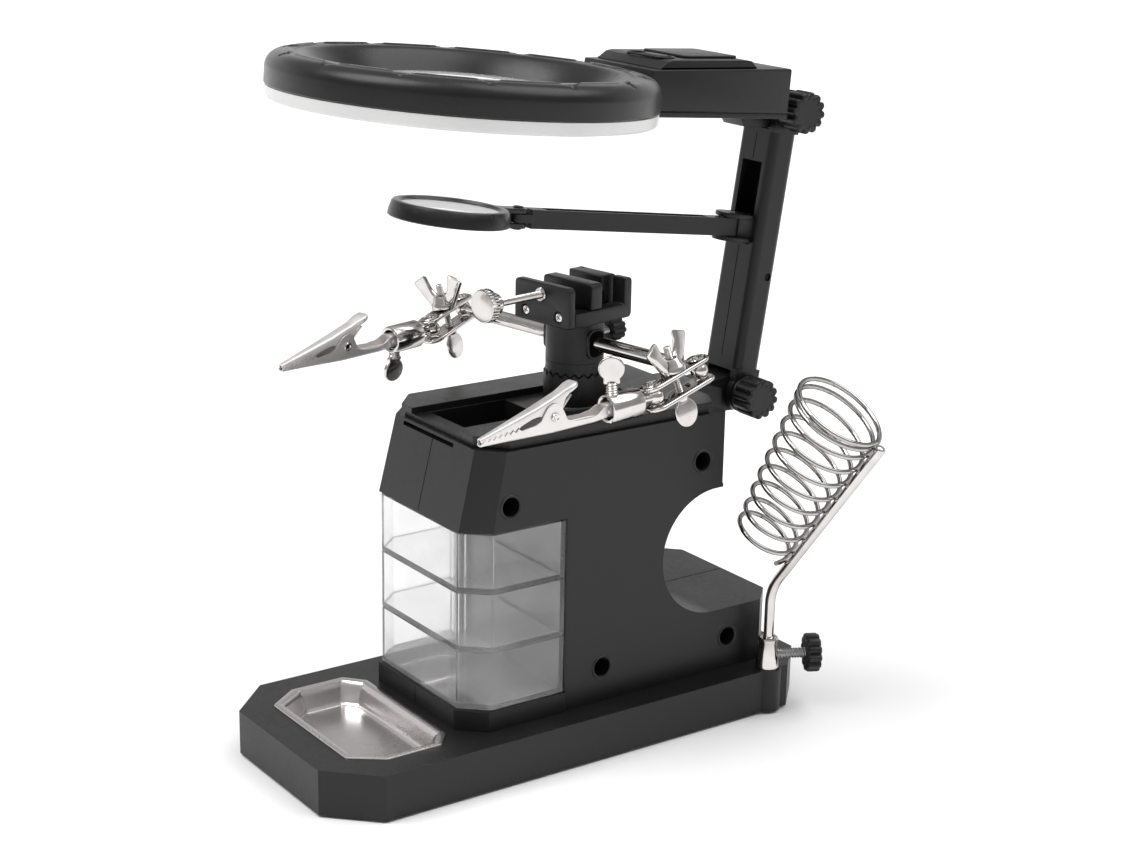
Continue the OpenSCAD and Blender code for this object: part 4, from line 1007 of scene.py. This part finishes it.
def head_box():
    """Battery box behind the ring, with its neck and hinge knuckle."""
    side = rounded([(68, -2.5), (140.5, -2.5), (140.5, 15.5), (70.5, 13.5)], [0.3, 0.8, 1.2, 0.5])
    neck = rounded([(127, -2.6), (139.0, -2.6), (143.5, -1.5), (HINGE_V, HINGE_W + 7.9),
                    (HINGE_V, HINGE_W - 7.9), (132, -9.8)], 0.6)
    knuckle = moved(spun(dome(8, -7, 7, 0.5), 64), shift(0, HINGE_V, HINGE_W) @ rot("Y", 90))
    make("head_box_moulded", *joined(along_x(slab([side], -22.5, 22.5, 0.55)),
                                     along_x(slab([neck], -7.0, 7.0, 0.5)), knuckle),
         HEAD, "black", "head")
    cover = [(75, 13.7), (124, 15.1), (121.2, 17.8), (118.5, 18.15), (81.5, 17.3), (79, 16.7)]
    cover = rounded(cover, [0.2, 0.2, 1.5, 1.5, 1.5, 1.0])
    make("battery_cover_moulded", *along_x(slab([cover], -20.5, 20.5, 0.5)), HEAD, "black", "head",
         "battery_cover")
    lid = slab([rounded(box_outline(-14, 92, 14, 119), 2.5)], 0, 1.1, 0.4)
    tilt = shift(0, 92, 17.45) @ rot("X", 1.32) @ shift(0, -92, 0)
    make("battery_lid", *moved(lid, tilt), HEAD, "black", "head")
    rim = slab([stadium(-8, 8, 4.6), stadium(-8, 8, 3.6)], 0, 0.9, 0.3)
    tilt = shift(3, 83.6, 17.1) @ rot("X", 1.32)
    make("switch_rim", *moved(rim, tilt), HEAD, "black", "head")
    button = slab([stadium(-3.6, 3.6, 2.6)], -1.5, 1.1, 0.5)
    make("switch_button", *moved(button, tilt @ shift(3, 0, 0)), HEAD, "knob_black",
         "power_button", "power_button")


head_box()
make("diffuser_moulded", *lathe([(54, -0.1), (54, -4.2), (54.4, -5.0), (55.2, -5.3), (70.8, -5.3),
                                 (72.2, -5.0), (73.0, -4.2), (73.2, -3.2), (73.2, -0.2), (71.6, -0.2),
                                 (71.6, -3.2), (70.9, -3.7), (56.3, -3.7), (55.6, -3.3), (55.6, -0.1)],
                                192), HEAD, "diffuser", "head", "diffuser")


def aux_ring():
    """Small ring with a stepped rim, its two tabs and pin."""
    at = AUX_RUN.length / MM
    centre = at + 30.7
    body = lathe([(19.2, -2.2), (22.9, -2.2), (23.5, -1.7), (23.3, 0.2), (22.4, 3.4), (21.8, 4.0),
                  (20.8, 4.2), (19.6, 4.0), (19.2, 3.5), (18.9, 3.2), (18.9, 0.9), (19.2, 0.4)], 128)
    parts = [moved(body, shift(0, -centre, 0))]
    lobe = [(3.6 * math.cos(a), -at + 3.6 * math.sin(a)) for a in
            [math.pi * k / 14 for k in range(15)]]
    outline = [(-3.6, -centre + 21.2), (3.6, -centre + 21.2)] + lobe
    for z in (-3.9, 1.9):
        parts.append(slab([outline, circle(0, -at, 1.3, 20)], z, z + 2, 0.35))
    pin = spun([(0, -4.6), (1.6, -4.6), (2.1, -4.2), (2.1, -3.9), (1.2, -3.8), (1.2, 3.9), (2.1, 4.0),
                (2.1, 4.3), (1.6, 4.6), (0, 4.6)], 28)
    make("aux_ring_moulded", *joined(*parts), AUX, "gloss_black", "aux_ring", "aux_ring")
    make("aux_ring_rivet", *moved(pin, shift(0, -at, 0)), AUX, "knob_black", "aux_ring")


aux_ring()


# ---- Housing details -----------------------------------------------------

HOUSE_W = 37.5
for i, (y, z) in enumerate(((-32.9, 108.2), (59.4, 110.9), (75.8, 31.9), (11.6, 32.8))):
    rim = lathe([(3.8, -0.4), (4.9, -0.4), (5.0, 0.05), (4.8, 0.3), (4.4, 0.32), (3.85, 0.05)], 48)
    make(f"screw_hole_rim_{i}", *moved(rim, shift(HOUSE_W, y, z) @ rot("Y", 90)), ROW, "black",
         "station")


def seam(name, a, b, out, frame_at, body, half=0.16, deep=0.25, proud=0.04):
    """Hairline between a right and a left half: a thin dark strip from a to b on a face."""
    across, out = Vector((1, 0, 0)), Vector(out)
    pts = [Vector(p) + across * w * half + out * h for p in (a, b) for h in (-deep, proud)
           for w in (-1, 1)]
    faces = [(0, 1, 3, 2), (4, 6, 7, 5), (0, 4, 5, 1), (2, 3, 7, 6), (0, 2, 6, 4), (1, 5, 7, 3)]
    make(name, pts, faces, frame_at, "seam", body, smooth=False)


FRONTWARD = (0, -1, 0)
seam("seam_housing_front", (0, -51.16, 99.4), (0, -43.97, 129.4), (0, -0.972, 0.233), ROW,
     "station")
seam("seam_housing_rear", (0, 69, 44.8), (0, 102.3, 44.8), UP, ROW, "station")
seam("seam_plinth_front", (0, -52.6, 18.6), (0, -52.6, 25.9), FRONTWARD, ROW, "station")
seam("seam_mast_front_low", (0, -6.4, 14), (0, -6.4, 61), FRONTWARD, MAST, "mast")
seam("seam_mast_front_top", (0, -6.4, 97), (0, -6.4, 108), FRONTWARD, MAST, "mast")


# ---- Stage, camera and light ---------------------------------------------

def stage():
    """Plain pale floor under the feet."""
    low = CAD_BOX[0].z
    me = bpy.data.meshes.new("floor")
    half = 6.0
    me.from_pydata([(-half, -half, low), (half, -half, low), (half, half, low), (-half, half, low)],
                   [], [(0, 1, 2, 3)])
    floor = bpy.data.objects.new("floor", me)
    bpy.context.scene.collection.objects.link(floor)
    m, nt, b = new_material("floor_pale")
    nt.links.new(ramp(nt, noise(nt, 3, 2), [(0.3, grey(0.92)), (0.7, grey(0.95))]),
                 b.inputs["Base Color"])
    b.inputs["Roughness"].default_value = 0.9
    b.inputs["Specular IOR Level"].default_value = 0.1
    me.materials.append(m)


def camera():
    """Camera at the angle the object is shown from."""
    az, el, roll = (math.radians(a) for a in (54.51, 16.738, 1.106))
    back = Vector((math.sin(az) * math.cos(el), -math.cos(az) * math.cos(el), math.sin(el)))
    right = Vector((math.cos(az), math.sin(az), 0))
    up = back.cross(right)
    x = right * math.cos(roll) + up * math.sin(roll)
    y = up * math.cos(roll) - right * math.sin(roll)
    m = Matrix((x, y, back)).transposed().to_4x4()
    m.translation = (0.67909, -0.46379, 0.37233)
    data = bpy.data.cameras.new("camera")
    data.lens = 68.30
    data.sensor_width = 36
    data.clip_start, data.clip_end = 0.01, 50
    cam = bpy.data.objects.new("camera", data)
    cam.matrix_world = m
    bpy.context.scene.collection.objects.link(cam)
    bpy.context.scene.camera = cam


def sun(name, azimuth, elevation, strength, spread):
    """Broad soft lamp from a direction in degrees."""
    data = bpy.data.lights.new(name, "SUN")
    data.energy = strength
    data.angle = math.radians(spread)
    obj = bpy.data.objects.new(name, data)
    a, e = math.radians(azimuth), math.radians(elevation)
    back = Vector((math.sin(a) * math.cos(e), -math.cos(a) * math.cos(e), math.sin(e)))
    obj.rotation_mode = "QUATERNION"
    obj.rotation_quaternion = back.to_track_quat("Z", "Y")
    bpy.context.scene.collection.objects.link(obj)


def light():
    """Grey room with a brighter ceiling, and two broad soft suns that whiten the floor."""
    world = bpy.data.worlds.new("studio")
    world.use_nodes = True
    nt = world.node_tree
    place = nt.nodes.new("ShaderNodeTexCoord")
    split = nt.nodes.new("ShaderNodeSeparateXYZ")
    nt.links.new(place.outputs["Generated"], split.inputs[0])
    near = ramp(nt, split.outputs["Z"], [(0.0, grey(0.5)), (0.12, grey(0.34)), (0.5, grey(0.34)),
                                         (1.0, grey(0.75))])
    far = ramp(nt, split.outputs["Z"], [(0.0, grey(1.0)), (0.34, grey(0.9)), (0.5, grey(0.3)),
                                        (1.0, grey(0.75))])
    # The far wall is lit, the side nearer the lens is dark
    across = nt.nodes.new("ShaderNodeVectorMath")
    across.operation = "DOT_PRODUCT"
    across.inputs[1].default_value = (-0.81, 0.58, 0)
    nt.links.new(place.outputs["Generated"], across.inputs[0])
    wall = nt.nodes.new("ShaderNodeMix")
    wall.data_type = "RGBA"
    nt.links.new(ramp(nt, across.outputs["Value"], [(0.1, grey(0.0)), (0.45, grey(1.0))]),
                 wall.inputs["Factor"])
    nt.links.new(near, wall.inputs[6])
    nt.links.new(far, wall.inputs[7])
    nt.links.new(wall.outputs[2], nt.nodes["Background"].inputs["Color"])
    nt.nodes["Background"].inputs["Strength"].default_value = 1.0
    bpy.context.scene.world = world
    sun("key", -20, 58, 1.75, 40)
    sun("fill", 150, 62, 1.35, 50)
    bpy.context.scene.view_settings.view_transform = "Standard"


stage()
camera()
light()
